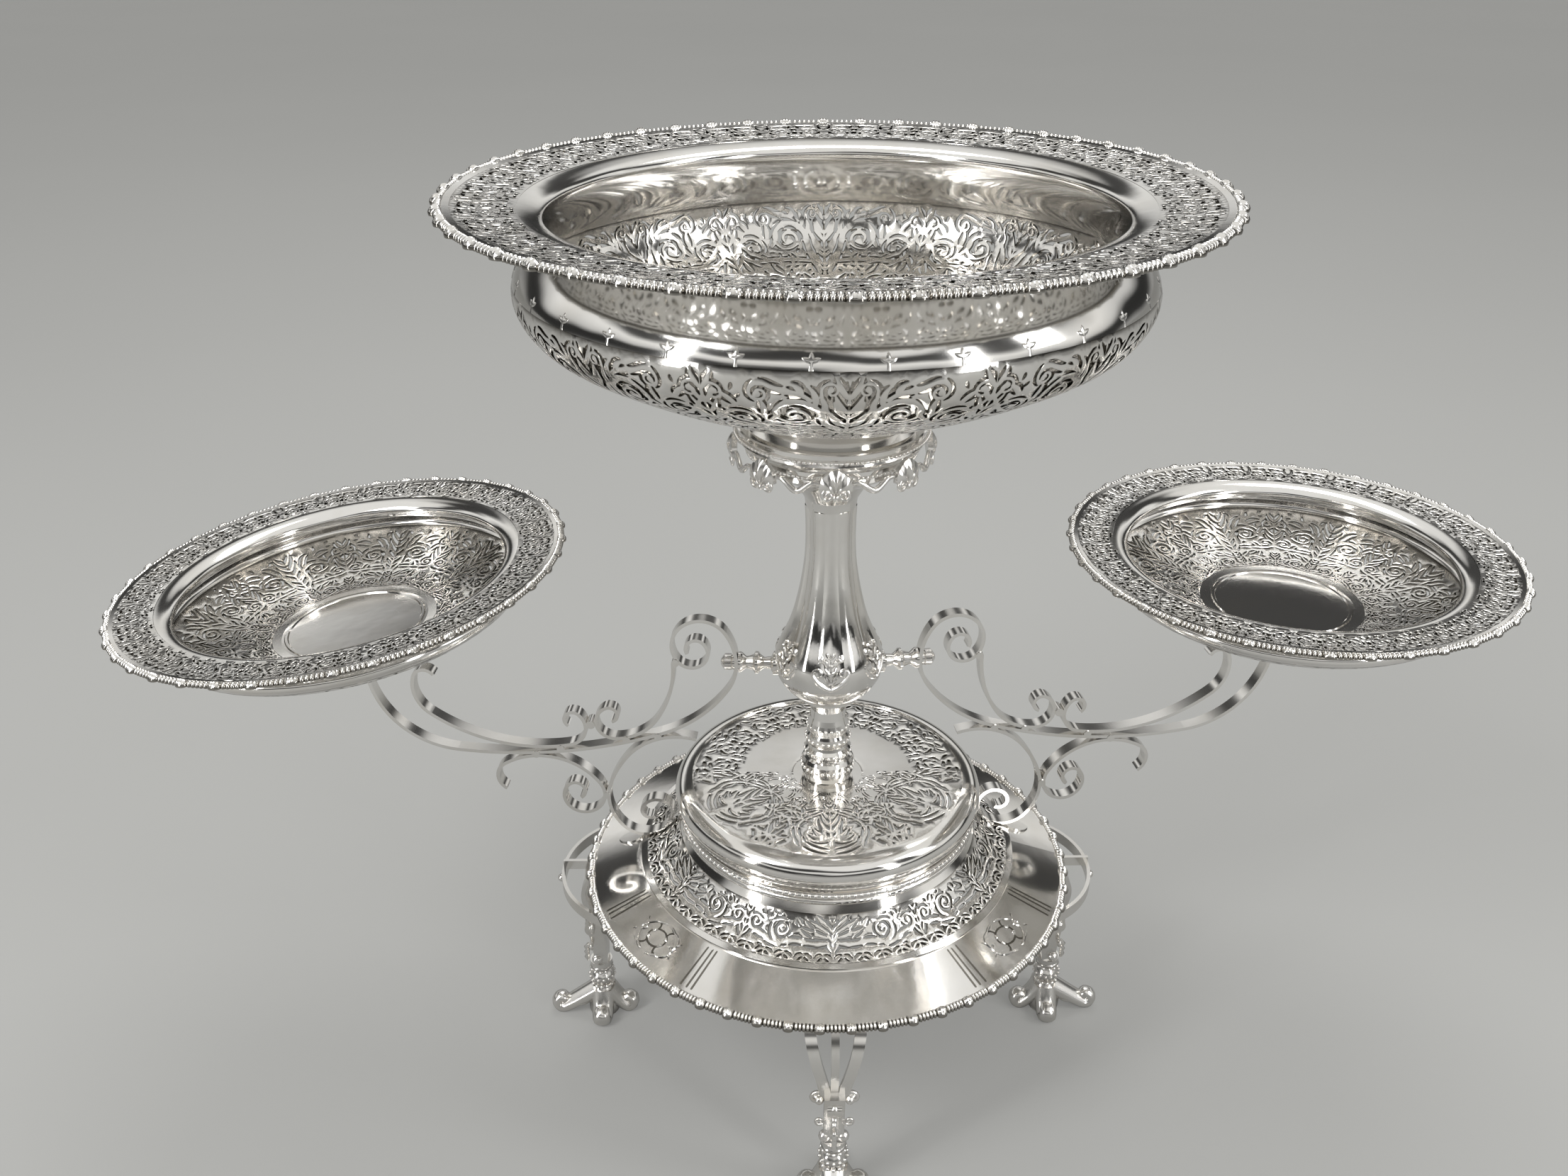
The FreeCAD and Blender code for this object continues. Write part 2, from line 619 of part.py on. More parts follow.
# Brackets
def bracket_chains():
    """Centrelines of the five straps, in the plane of radius and height."""
    pin = (BULB_R + SPACER_LENGTH + STRAP_T / 2, PIN_Z)
    return {"long": arc_chain(pin, -90.0, LONG_ARCS, 1), "coil": arc_chain(pin, 90.0, TOP_COIL_ARCS, -1),
            "upper": arc_chain(UPPER_START, UPPER_HEADING, UPPER_ARCS, -1),
            "s": arc_chain(S_START, S_HEADING, S_ARCS, 1),
            "outer": arc_chain(OUTER_START, OUTER_HEADING, OUTER_ARCS, 1),
            "foot": arc_chain(FOOT_START, FOOT_HEADING, FOOT_ARCS, -1)}


def reversed_chain(chain):
    """The same arcs walked from the other end."""
    return [(cx, cz, r, end, begin, -turn) for cx, cz, r, begin, end, turn in reversed(chain)]


def make_spacer():
    """The turned spacer between bulb and strap, along +X from the bulb's side."""
    length = SPACER_LENGTH
    r = SPACER_R
    profile = [(r + 1.9, 0.0), (r + 1.9, 1.0), (r - 0.4, 2.2), (r - 0.8, 5.0), (r + 0.4, 6.6), (r + 1.6, 7.6),
               (r + 1.6, 8.8), (r + 0.2, 9.8), (r - 0.6, 12.6), (r + 0.8, 14.2), (r + 1.3, 15.0),
               (r + 1.3, length)]
    sunk = [(r + 1.9, -2.0)]
    bore = SCREW_R + RUN_CLEAR
    body = turned([(bore, -2.0)] + sunk + profile + [(bore, length)])
    body.rotate(ORIGIN, Y_AXIS, 90)
    body.translate(vec(BULB_R, 0, PIN_Z))
    return body


def screw_sizes():
    """Places along the screw's axis: strap face, washer face, head face, tip."""
    strap_face = BULB_R + SPACER_LENGTH + STRAP_T
    washer_face = strap_face + SCREW_WASHER_T
    tip = BULB_R - SCREW_PITCH * SCREW_TURNS
    return strap_face, washer_face, tip


def make_screw():
    """The thumb screw: a knurled head with a domed end, and its shank."""
    strap_face, washer_face, tip = screw_sizes()
    shank = Part.makeCylinder(SCREW_R, washer_face - tip, vec(tip, 0, PIN_Z), X_AXIS)
    head = turned([(0.0, 0.0), (SCREW_HEAD_R - 0.8, 0.0), (SCREW_HEAD_R, 0.8), (SCREW_HEAD_R, 3.4),
                   (SCREW_HEAD_R - 1.2, 4.4), (1.2, SCREW_HEAD_L), (0.0, SCREW_HEAD_L)])
    notches = []
    for i in range(12):
        notch = Part.makeCylinder(0.42, 3.0, vec(SCREW_HEAD_R + 0.1, 0, 0.6))
        notch.rotate(ORIGIN, Z_AXIS, 30.0 * i)
        notches.append(notch)
    head = head.cut(Part.makeCompound(notches))
    head.rotate(ORIGIN, Y_AXIS, 90)
    head.translate(vec(washer_face, 0, PIN_Z))
    return shank.fuse(head)


def make_screw_washer():
    strap_face, washer_face, tip = screw_sizes()
    outer = Part.makeCylinder(SCREW_WASHER_R, SCREW_WASHER_T, vec(strap_face, 0, PIN_Z), X_AXIS)
    bore = Part.makeCylinder(SCREW_R + RUN_CLEAR, SCREW_WASHER_T, vec(strap_face, 0, PIN_Z), X_AXIS)
    return outer.cut(bore)


def make_foot_leaf(tray_edge_r):
    """A small leaf that lies on the plain band and takes the lower coil's weight."""
    half = FOOT_LEAF_W / 2
    low_r = tray_edge_r + 0.4
    tip_r = low_r + FOOT_LEAF_L
    points = [vec(low_r, -half * 0.5, 0), vec(low_r + FOOT_LEAF_L * 0.45, -half, 0), vec(tip_r, 0, 0)]
    other = [vec(tip_r, 0, 0), vec(low_r + FOOT_LEAF_L * 0.45, half, 0), vec(low_r, half * 0.5, 0)]
    edges = [Part.Arc(points[0], points[1], points[2]).toShape(),
             Part.Arc(other[0], other[1], other[2]).toShape(),
             Part.makeLine(other[2], points[0])]
    return Part.Face(Part.Wire(edges)).extrude(vec(0, 0, 20.0))


def make_bracket(side, stem, tier):
    """All the pieces of one bracket, already turned to its azimuth, by node name."""
    chains = bracket_chains()
    azimuth = ARMS[side]
    main_chain = reversed_chain(chains["coil"]) + chains["long"]
    end, heading = chain_point(chains["long"], -1, 1.0)
    pieces = {}

    seat = make_seat()
    seat.translate(vec(0, 0, SEAT_H))
    seat.rotate(ORIGIN, Y_AXIS, DROOP[side])
    seat.translate(vec(end[0], 0, end[1] - SOLDER_BITE))
    pieces["bowl_seat"] = seat

    main = strap(main_chain)
    hole_start = vec(BULB_R + SPACER_LENGTH - STRAP_T, 0, PIN_Z)
    hole = Part.makeCylinder(SCREW_R + RUN_CLEAR, 4 * STRAP_T, hole_start, X_AXIS)
    pieces["spacer"] = make_spacer().cut(turned_back(stem, azimuth))
    pieces["screw_washer"] = make_screw_washer()
    pieces["thumb_screw"] = make_screw()
    # the washer and the spacer each have a flat let into the curved strap
    main = main.cut([hole, seat, pieces["screw_washer"], pieces["spacer"]])
    pieces["main_strap"] = main
    upper = strap(chains["upper"])
    s_strap = strap(chains["s"])
    outer = strap(chains["outer"])
    foot = strap(chains["foot"])
    pieces["upper_strap"] = upper.cut(main)
    pieces["s_strap"] = s_strap.cut(main)
    pieces["outer_scroll"] = outer.cut(main)
    pieces["foot_scroll"] = foot.cut([main, outer, turned_back(tier, azimuth)])

    met = [("long", "upper"), ("long", "s"), ("coil", "s"), ("upper", "s"), ("long", "outer"),
           ("long", "foot"), ("outer", "foot")]
    ties = [tie(chains[one], chains[other]) for one, other in met]
    straps = main.fuse([upper, s_strap, outer, foot])
    pieces["scroll_ties"] = Part.makeCompound([one.cut(straps) for one in ties])

    leaf = make_foot_leaf(TIER_EDGE_R)
    leaf.translate(vec(0, 0, TRAY_Z - 6.0))
    top = leaf_cap(FOOT_LEAF_T)
    pieces["foot_leaf"] = leaf.common(top)

    for piece in pieces.values():
        piece.rotate(ORIGIN, Z_AXIS, azimuth)
    return pieces


def leaf_cap(thickness):
    """The layer of the given thickness that lies on the plain band."""
    inner, outer = TIER_EDGE_R, TRAY_R
    return turned([(inner, tray_z(inner)), (outer, tray_z(outer)), (outer, tray_z(outer) + thickness),
                   (inner, tray_z(inner) + thickness)])


def turned_back(piece, azimuth):
    """A piece as the bracket sees it before the bracket is turned to its azimuth."""
    piece = piece.copy()
    piece.rotate(ORIGIN, Z_AXIS, -azimuth)
    return piece


def seat_frame(side):
    """Where a side bowl's foot rests: the seat's top centre and the bowl's axis."""
    chains = bracket_chains()
    end, heading = chain_point(chains["long"], -1, 1.0)
    lean = math.radians(DROOP[side])
    rho = end[0] + SEAT_H * math.sin(lean)
    z = end[1] - SOLDER_BITE + SEAT_H * math.cos(lean)
    return rho, z, lean


def place_side(shape, side):
    """Move a piece from the side bowl's own frame to its seat."""
    rho, z, lean = seat_frame(side)
    shape = shape.copy()
    shape.translate(vec(0, 0, SIDE_DEPTH + SIDE_FOOT_H))
    shape.rotate(ORIGIN, Y_AXIS, DROOP[side])
    shape.translate(vec(rho, 0, z))
    shape.rotate(ORIGIN, Z_AXIS, ARMS[side])
    return shape


# Legs and handles
def leg_strap(points, width, thickness):
    """A lofted flat strap through (radius, sideways, height) stations."""
    sections = []
    last = len(points) - 1
    for i, (r, t, z) in enumerate(points):
        before, after = points[max(i - 1, 0)], points[min(i + 1, last)]
        dr, dz = after[0] - before[0], after[2] - before[2]
        length = math.hypot(dr, dz)
        nr, nz = -dz / length * thickness / 2, dr / length * thickness / 2
        half = width / 2
        corners = [vec(r - nr, t - half, z - nz), vec(r + nr, t - half, z + nz),
                   vec(r + nr, t + half, z + nz), vec(r - nr, t + half, z - nz)]
        sections.append(Part.makePolygon(corners + [corners[0]]))
    return Part.makeLoft(sections, True, False)


def tray_under_z(r):
    return tray_z(r) - SHEET


def space_over_tray():
    """Everything above the underside of the tray and of its border, for trimming to fit."""
    border_low = TRAY_Z - SHEET - BORDER_DROP
    inner = TIER_EDGE_R
    outer = TRAY_R + 40.0
    top = TIER_EDGE_Z + 30.0
    return turned([(inner, tray_under_z(inner)), (TRAY_R, tray_under_z(TRAY_R)), (TRAY_R, border_low),
                   (outer, border_low), (outer, top), (inner, top)])


def make_leg_frame():
    """Two straps that close into a neck, with a spine between them, and the ankle."""
    top_z = tray_under_z(LEG_TOP_R) + SOLDER_BITE
    half = LEG_TOP_HALF
    neck = LEG_NECK_HALF
    outline = [(LEG_TOP_R, half, top_z), (LEG_TOP_R + 5.6, half * 0.93, top_z - 6.0),
               (LEG_TOP_R + 8.2, half * 0.76, top_z - 14.0), (LEG_TOP_R + 7.8, half * 0.56, top_z - 23.0),
               (LEG_TOP_R + 5.6, neck, LEG_NECK_Z)]
    straps = []
    for sign in (1, -1):
        straps.append(leg_strap([(r, sign * t, z) for r, t, z in outline], LEG_STRAP_W, LEG_STRAP_T))
    spine_top = [(LEG_TOP_R + 1.5, 0.0, tray_under_z(LEG_TOP_R + 1.5) + SOLDER_BITE)]
    spine_line = spine_top + [(r - 1.2, 0.0, z) for r, t, z in outline[1:]]
    spine = leg_strap(spine_line, LEG_STRAP_W * 0.7, LEG_STRAP_T)
    shank = leg_strap([(LEG_TOP_R + 6.0, 0.0, LEG_NECK_Z + 2.0), (LEG_TOP_R + 5.0, 0.0, LEG_NECK_Z - 6.0),
                       (ANKLE_R - 0.4, 0.0, ANKLE_Z + 10.0), (ANKLE_R, 0.0, ANKLE_Z)],
                      2 * ANKLE_HALF, 2 * ANKLE_HALF * 0.8)
    ankle = Part.makeCylinder(ANKLE_HALF + 1.0, 2.4, vec(ANKLE_R, 0, ANKLE_Z - 1.2))
    curl = strap(arc_chain((LEG_TOP_R + 5.0, LEG_NECK_Z - 2.0), 20.0, CURL_ARCS, -1), 1.6 * neck, 1.5)
    beads = [curl]
    for sign in (1, -1):
        beads.append(Part.makeSphere(1.9, vec(LEG_TOP_R + 6.4, sign * (neck + 2.6), LEG_NECK_Z - 1.0)))
        beads.append(Part.makeSphere(2.3, vec(ANKLE_R + 1.0, sign * ANKLE_HALF * 0.9, ANKLE_Z + 3.6)))
    frame = straps[0].fuse([straps[1], spine, shank, ankle] + beads).cut(space_over_tray())
    return max(frame.Solids, key=lambda solid: solid.Volume)


def make_leg_foot():
    """The cast foot: a swelling ankle over four rounded toes, flat underneath."""
    top = ANKLE_Z - 1.2
    body = turned([(0.0, top), (ANKLE_HALF, top), (ANKLE_HALF + 1.2, top - 4.0),
                   (ANKLE_HALF + 0.6, top - 9.0), (FOOT_PAD_R - 1.0, 9.0), (FOOT_PAD_R, 4.0),
                   (FOOT_PAD_R, 0.0), (0.0, 0.0)])
    body.translate(vec(ANKLE_R, 0, 0))
    toes = []
    for direction, reach in ((0, TOE_OUT), (90, TOE_SIDE), (180, TOE_IN), (270, TOE_SIDE)):
        toe = Part.makeSphere(TOE_R, vec(0, 0, 0))
        stretch = FreeCAD.Matrix()
        stretch.scale(1.5, 0.86, 1.0)
        toe = toe.transformGeometry(stretch)
        toe.translate(vec(reach - 1.5 * TOE_R, 0, TOE_R * 0.45))
        toe.rotate(ORIGIN, Z_AXIS, direction)
        toe.translate(vec(ANKLE_R, 0, 0))
        toes.append(toe)
    floor = Part.makeBox(80, 80, 30, vec(ANKLE_R - 40, -40, 0))
    return body.fuse(toes).common(floor).removeSplitter()


def hoop_part(low, high, start, end):
    """Part of the handle's hoop between two heights and two angles about the hoop's centre."""
    centre = vec(HANDLE_OUT_R - HANDLE_RADIUS, 0, low)
    outer = Part.makeCylinder(HANDLE_RADIUS + HANDLE_T / 2, high - low, centre, Z_AXIS, end - start)
    outer.rotate(centre, Z_AXIS, start)
    return outer.cut(Part.makeCylinder(HANDLE_RADIUS - HANDLE_T / 2, high - low, centre))


def make_handle(leg_frame):
    """A side handle: a strap bent to an arc below the rim, tied to the rim at its middle."""
    low = HANDLE_Z - HANDLE_W / 2
    top = tray_under_z(TRAY_R - HANDLE_LUG_L) + SOLDER_BITE
    parts = [hoop_part(low, low + HANDLE_W, -HANDLE_HALF_ANGLE, HANDLE_HALF_ANGLE)]
    for start in (-HANDLE_HALF_ANGLE, HANDLE_HALF_ANGLE - HANDLE_LUG_ANGLE):
        parts.append(hoop_part(low, top, start, start + HANDLE_LUG_ANGLE))
    border_low = TRAY_Z - SHEET - BORDER_DROP
    stay = vec(TRAY_R + 0.4, -HANDLE_T / 2, border_low - 4.6)
    parts.append(Part.makeBox(HANDLE_REACH - 0.4, HANDLE_T, 4.6, stay))
    parts.append(Part.makeSphere(HANDLE_BALL_R, vec(HANDLE_OUT_R + 0.8 * HANDLE_BALL_R, 0, low - 0.4)))
    handle = parts[0].fuse(parts[1:]).cut([space_over_tray(), leg_frame])
    return max(handle.Solids, key=lambda solid: solid.Volume)


def main():
    os.makedirs(OUT, exist_ok=True)

    dome = make_dome()
    tier = make_tier()
    tray = make_tray()
    save("dome", dome)
    save("dome_ring", make_dome_ring().cut(dome))
    save("tier", tier)
    save("tray", tray)
    border = shell_border(TRAY_R, TRAY_BORDER_W, 3.0, TRAY_Z - SHEET - BORDER_DROP, TRAY_SHELLS)
    save("tray_border", border)

    stem = make_stem()
    collar = make_collar()
    save("spindle", make_spindle())
    save("saucer", make_saucer())
    save("stem", stem)
    save("collar", collar)
    save("collar_shells", make_drops(collar))
    save("tie_rod", make_rod())
    save("rod_washer", make_rod_washer())
    save("rod_nut", make_rod_nut())

    floor_z = RIM_Z - BOWL_DEPTH
    save("central_bowl", pierced(bowl_shell(central_outline(), floor_z), BOWL_WINDOWS))
    save("central_border", shell_border(RIM_R, RIM_BORDER_W, 3.2, RIM_Z - SHEET - 1.0, RIM_SHELLS))
    save("central_foot", make_central_foot())

    side_bowl = pierced(bowl_shell(side_outline(), -SIDE_DEPTH), SIDE_WINDOWS)
    side_border = shell_border(SIDE_RIM_R, SIDE_BORDER_W, 2.8, -SHEET - 0.8, SIDE_SHELLS)
    side_foot = make_side_foot()
    for side in ARMS:
        for name, piece in make_bracket(side, stem, tier).items():
            save(side + "_" + name, piece)
        save(side + "_bowl", place_side(side_bowl, side))
        save(side + "_border", place_side(side_border, side))
        save(side + "_bowl_foot", place_side(side_foot, side))

    leg_frame = make_leg_frame()
    handle = make_handle(leg_frame)
    for side, angle in (("right", 0), ("left", 180)):
        piece = handle.copy()
        piece.rotate(ORIGIN, Z_AXIS, angle)
        save(side + "_handle", piece)

    for i in range(LEG_COUNT):
        angle = 360.0 / LEG_COUNT * i
        for name, piece in (("frame", leg_frame.copy()), ("foot", make_leg_foot())):
            piece.rotate(ORIGIN, Z_AXIS, angle)
            save("leg_" + str(i + 1) + "_" + name, piece)


main()
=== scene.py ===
import bpy
import math
import numpy as np
from mathutils import Matrix, Vector, geometry


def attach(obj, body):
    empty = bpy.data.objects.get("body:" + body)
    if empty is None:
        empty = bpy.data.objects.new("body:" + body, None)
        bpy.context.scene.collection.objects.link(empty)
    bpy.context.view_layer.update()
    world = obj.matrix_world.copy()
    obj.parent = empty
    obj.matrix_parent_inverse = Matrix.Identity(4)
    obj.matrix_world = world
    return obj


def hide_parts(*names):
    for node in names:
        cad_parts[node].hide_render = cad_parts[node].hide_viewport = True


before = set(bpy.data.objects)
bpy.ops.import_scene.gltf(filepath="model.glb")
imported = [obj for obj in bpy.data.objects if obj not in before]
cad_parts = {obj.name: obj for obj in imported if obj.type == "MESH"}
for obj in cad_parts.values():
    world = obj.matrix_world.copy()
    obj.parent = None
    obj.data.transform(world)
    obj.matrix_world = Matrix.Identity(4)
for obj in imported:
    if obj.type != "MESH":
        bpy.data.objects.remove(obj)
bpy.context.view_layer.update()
MM = 0.001


# Curves and meshes
def along(points):
    """Distance along a line up to each of its points."""
    return np.concatenate([[0], np.cumsum(np.hypot(*np.diff(points, axis=0).T))])


def lattice(rows, cols, wrap=False):
    """Four-sided faces between rings of cols points, and from the last ring to the first where it wraps."""
    return [(i * cols + k, i * cols + (k + 1) % cols, (i + 1) % rows * cols + (k + 1) % cols,
             (i + 1) % rows * cols + k) for i in range(rows if wrap else rows - 1) for k in range(cols)]


def spline(points, per=14):
    """A smooth run of points through the given ones, spaced by chord length."""
    p = np.array(points, float)
    t = along(p)
    n = len(p)
    h = np.diff(t)
    a = np.eye(n)
    b = np.zeros((n, 2))
    for i in range(1, n - 1):
        a[i, i - 1], a[i, i], a[i, i + 1] = h[i - 1], 2 * (h[i - 1] + h[i]), h[i]
        b[i] = 6 * ((p[i + 1] - p[i]) / h[i] - (p[i] - p[i - 1]) / h[i - 1])
    m = np.linalg.solve(a, b)
    out = []
    for i in range(n - 1):
        for k in range(per):
            x = h[i] * k / per
            y = h[i] - x
            out.append((m[i] * y ** 3 + m[i + 1] * x ** 3) / (6 * h[i])
                       + (p[i] / h[i] - m[i] * h[i] / 6) * y + (p[i + 1] / h[i] - m[i + 1] * h[i] / 6) * x)
    out.append(p[-1])
    return np.array(out)


def make(name, body, parts, node=None, smooth=35.0):
    """One piece from (vertices, faces, relief or None, material) parts in millimetres."""
    verts, faces, relief, finish, shift = [], [], [], [], 0
    materials = []
    for v, f, height, material in parts:
        if material not in materials:
            materials.append(material)
        v = np.asarray(v, float)
        height = np.ones(len(v)) if height is None else np.asarray(height, float)
        key = np.round(v / 0.002).astype(np.int64)
        _, first, back = np.unique(key, axis=0, return_index=True, return_inverse=True)
        back = back.reshape(-1)
        for face in f:
            ids = [int(back[i]) for i in face]
            ids = [i for k, i in enumerate(ids) if i != ids[k - 1]]
            if len(set(ids)) == len(ids) > 2:
                faces.append([i + shift for i in ids])
                finish.append(materials.index(material))
        verts.append(v[first])
        relief.append(height[first])
        shift += len(first)
    mesh = bpy.data.meshes.new(name)
    mesh.from_pydata((np.concatenate(verts) * MM).tolist(), [], faces)
    layer = mesh.attributes.new("relief", "FLOAT", "POINT")
    layer.data.foreach_set("value", np.concatenate(relief).astype(np.float32))
    for material in materials:
        mesh.materials.append(material)
    mesh.polygons.foreach_set("material_index", finish)
    mesh.validate(verbose=False)
    mesh.shade_smooth()
    mesh.set_sharp_from_angle(angle=math.radians(smooth))
    obj = bpy.data.objects.new(name, mesh)
    bpy.context.scene.collection.objects.link(obj)
    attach(obj, body)
    if node:
        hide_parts(node)
    return obj


def moved(verts, place):
    """Points in a local frame, moved by a 4x4 placement in millimetres."""
    v = np.asarray(verts, float)
    m = np.array(place)
    return v @ m[:3, :3].T + m[:3, 3]


def revolve(profile, segments, closed=True):
    """Turns (radius, height) points about the axis."""
    p = np.asarray(profile, float)
    n = len(p)
    verts = []
    for k in range(segments):
        a = 2 * math.pi * k / segments
        verts.append(np.stack([p[:, 0] * math.cos(a), p[:, 0] * math.sin(a), p[:, 1]], 1))
    faces = []
    for k in range(segments):
        k2 = (k + 1) % segments
        for i in range(n if closed else n - 1):
            j = (i + 1) % n
            faces.append((k * n + i, k2 * n + i, k2 * n + j, k * n + j))
    return np.concatenate(verts), faces


def tube(path, radii, sides=10):
    """A round tube along a path with its own radius at each point."""
    path = [Vector(p) for p in path]
    n = len(path)
    verts = []
    up = Vector((0, 0, 1))
    prev = None
    for i, p in enumerate(path):
        d = (path[min(i + 1, n - 1)] - path[max(i - 1, 0)]).normalized()
        if prev is None:
            side = d.cross(up)
            if side.length < 0.1:
                side = d.cross(Vector((1, 0, 0)))
        else:
            side = prev - d * prev.dot(d)
        side.normalize()
        prev = side
        other = d.cross(side)
        for k in range(sides):
            a = 2 * math.pi * k / sides
            verts.append(p + (side * math.cos(a) + other * math.sin(a)) * radii[i])
    caps = [tuple(reversed(range(sides))), tuple(range((n - 1) * sides, n * sides))]
    return np.array([tuple(v) for v in verts]), lattice(n, sides) + caps


def ball(centre, radius, squash=(1, 1, 1), rows=8, cols=12):
    """A ball, or an egg where squash stretches its axes."""
    verts = []
    for i in range(rows + 1):
        b = math.pi * i / rows - math.pi / 2
        for k in range(cols):
            a = 2 * math.pi * k / cols
            verts.append((centre[0] + radius * squash[0] * math.cos(b) * math.cos(a),
                          centre[1] + radius * squash[1] * math.cos(b) * math.sin(a),
                          centre[2] + radius * squash[2] * math.sin(b)))
    return np.array(verts), lattice(rows + 1, cols)


def joined(parts):
    """Several (verts, faces) as one."""
    verts, faces, shift = [], [], 0
    for v, f in parts:
        verts.append(np.asarray(v, float))
        faces += [tuple(i + shift for i in face) for face in f]
        shift += len(v)
    return np.concatenate(verts), faces


def around(part, count, start=0.0):
    """Copies of (verts, faces) round the axis, the first turned to start degrees."""
    out = []
    for k in range(count):
        a = math.radians(start + 360.0 * k / count)
        out.append((moved(part[0], Matrix.Rotation(a, 4, "Z")), part[1]))
    return joined(out)


# Drawn ornament
class Drawing:
    """Strokes that swell and taper, from which pierced and chased ornament is made."""

    def __init__(self):
        self.strokes = []

    def add(self, points, widths):
        self.strokes.append((np.asarray(points, float), np.asarray(widths, float)))

    def chain(self, start, heading, arcs, w0, w1, swell=0.0, tip=0.0):
        """Tangent arcs (radius, signed degrees); the width runs from w0 to w1 with a swell midway."""
        x, y = start
        a = math.radians(heading)
        pts = [(x, y)]
        for radius, degrees in arcs:
            turn = 1 if degrees > 0 else -1
            steps = max(3, int(abs(degrees) / 9))
            cx, cy = x - turn * radius * math.sin(a), y + turn * radius * math.cos(a)
            for k in range(1, steps + 1):
                b = a + math.radians(degrees) * k / steps
                pts.append((cx + turn * radius * math.sin(b), cy - turn * radius * math.cos(b)))
            a += math.radians(degrees)
            x, y = pts[-1]
        pts = np.array(pts)
        s = along(pts)
        s /= s[-1]
        self.add(pts, w0 + (w1 - w0) * s + swell * np.sin(math.pi * s))
        if tip > 0:
            self.dot(pts[-1], tip)
        return pts

    def curled(self, base, heading, length, curl, steps):
        """Points and directions of a line that curls more and more."""
        a = math.radians(heading)
        x, y = base
        pts, angles = [(x, y)], [a]
        for k in range(steps):
            a += math.radians(curl) / steps * (0.4 + 1.2 * k / steps)
            x += length / steps * math.cos(a)
            y += length / steps * math.sin(a)
            pts.append((x, y))
            angles.append(a)
        return pts, angles, np.linspace(0, 1, steps + 1)

    def leaf(self, base, heading, length, width, curl):
        """A pointed leaf that starts narrow, swells and curls over."""
        pts, _, t = self.curled(base, heading, length, curl, 10)
        self.add(pts, width * (0.22 * (1 - t) + np.sin(math.pi * t ** 0.8) ** 0.9))

    def frond(self, base, heading, length, width, curl, lobes=4):
        """A leaf with side lobes, as on acanthus."""
        pts, angles, t = self.curled(base, heading, length, curl, 12)
        self.add(pts, width * (0.5 * (1 - t) + 0.12))
        for k in range(lobes):
            i = int(12 * (0.12 + 0.74 * k / max(lobes - 1, 1)))
            size = length * (0.42 - 0.22 * k / lobes)
            for side in (1, -1):
                self.leaf(pts[i], math.degrees(angles[i]) + side * 38, size, width * 0.62,
                          -side * 30 + curl * 0.3)

    def leaves(self, width, rows):
        """One leaf for each row of x, y, heading, length and curl."""
        for x, y, heading, length, curl in rows:
            self.leaf((x, y), heading, length, width, curl)

    def dot(self, centre, radius):
        self.add([centre, (centre[0] + 0.01, centre[1])], [2 * radius, 2 * radius])

    def scroll(self, base, heading, centre, radius, start, turns, hand, w0, w1, tip=0.0):
        """A stem that leaves base and winds into a volute about a centre."""
        a0 = math.radians(start)
        entry = np.array([centre[0] + radius * math.cos(a0), centre[1] + radius * math.sin(a0)])
        lead = np.array([-math.sin(a0), math.cos(a0)]) * hand
        base = np.array(base, float)
        reach = 0.42 * np.hypot(*(entry - base))
        c1 = base + reach * np.array([math.cos(math.radians(heading)), math.sin(math.radians(heading))])
        c2 = entry - reach * lead
        pts = []
        for k in range(13):
            s = k / 12
            pts.append((1 - s) ** 3 * base + 3 * (1 - s) ** 2 * s * c1 + 3 * (1 - s) * s * s * c2
                       + s ** 3 * entry)
        steps = int(turns * 22)
        for k in range(1, steps + 1):
            s = k / steps
            a = a0 + hand * 2 * math.pi * turns * s
            r = radius * (1 - 0.84 * s ** 0.9)
            pts.append(np.array([centre[0] + r * math.cos(a), centre[1] + r * math.sin(a)]))
        pts = np.array(pts)
        s = along(pts)
        s /= s[-1]
        self.add(pts, w0 + (w1 - w0) * s + 0.35 * w0 * np.sin(math.pi * np.minimum(1, s * 1.6)))
        if tip > 0:
            self.dot(pts[-1], tip)

    def slits(self, width, height, wide=1.1, tie=1.1, every=6.5, pitch=3.7, margin=1.2):
        """Crescent cuts that follow both sides of each stroke, and small leaf cuts in the ground between."""
        cuts = Drawing()
        near = []
        for pts, w in self.strokes:
            s = along(pts)
            if s[-1] < 1.0:
                continue
            near.append(pts)
            count = max(1, int(round(s[-1] / every)))
            for k in range(count):
                a, b = s[-1] * k / count + tie / 2, s[-1] * (k + 1) / count - tie / 2
                at = np.linspace(a, b, 7)
                mid = np.stack([np.interp(at, s, pts[:, 0]), np.interp(at, s, pts[:, 1])], 1)
                run = np.gradient(mid, axis=0)
                run /= np.maximum(np.hypot(*run.T), 1e-9)[:, None]
                normal = np.stack([-run[:, 1], run[:, 0]], 1)
                out = (np.interp(at, s, w) / 2 + wide * 0.42)[:, None]
                taper = wide * (0.35 + 0.65 * np.sin(np.linspace(0, math.pi, 7)))
                for side in (1, -1):
                    cuts.add(mid + side * normal * out, taper)
        taken = np.concatenate(near + [p for p, _ in cuts.strokes])
        leads = np.concatenate([np.gradient(p, axis=0) for p in near])
        spots = np.concatenate(near)
        row = 0
        y = margin + 1.2 if pitch > 0 else height
        while y < height - margin - 1.0:
            x = -width / 2 + pitch * (0.25 if row % 2 else 0.75)
            while x < width / 2:
                if np.min(np.hypot(taken[:, 0] - x, taken[:, 1] - y)) > 1.75:
                    lead = leads[int(np.argmin(np.hypot(spots[:, 0] - x, spots[:, 1] - y)))]
                    heading = math.degrees(math.atan2(lead[1], lead[0])) + (38 if x > 0 else -38)
                    cuts.leaf((x, y), heading, 0.62 * pitch, 0.9 * wide, 40 if x > 0 else -40)
                x += pitch
            y += pitch * 0.8
            row += 1
        for p, w in list(cuts.strokes):
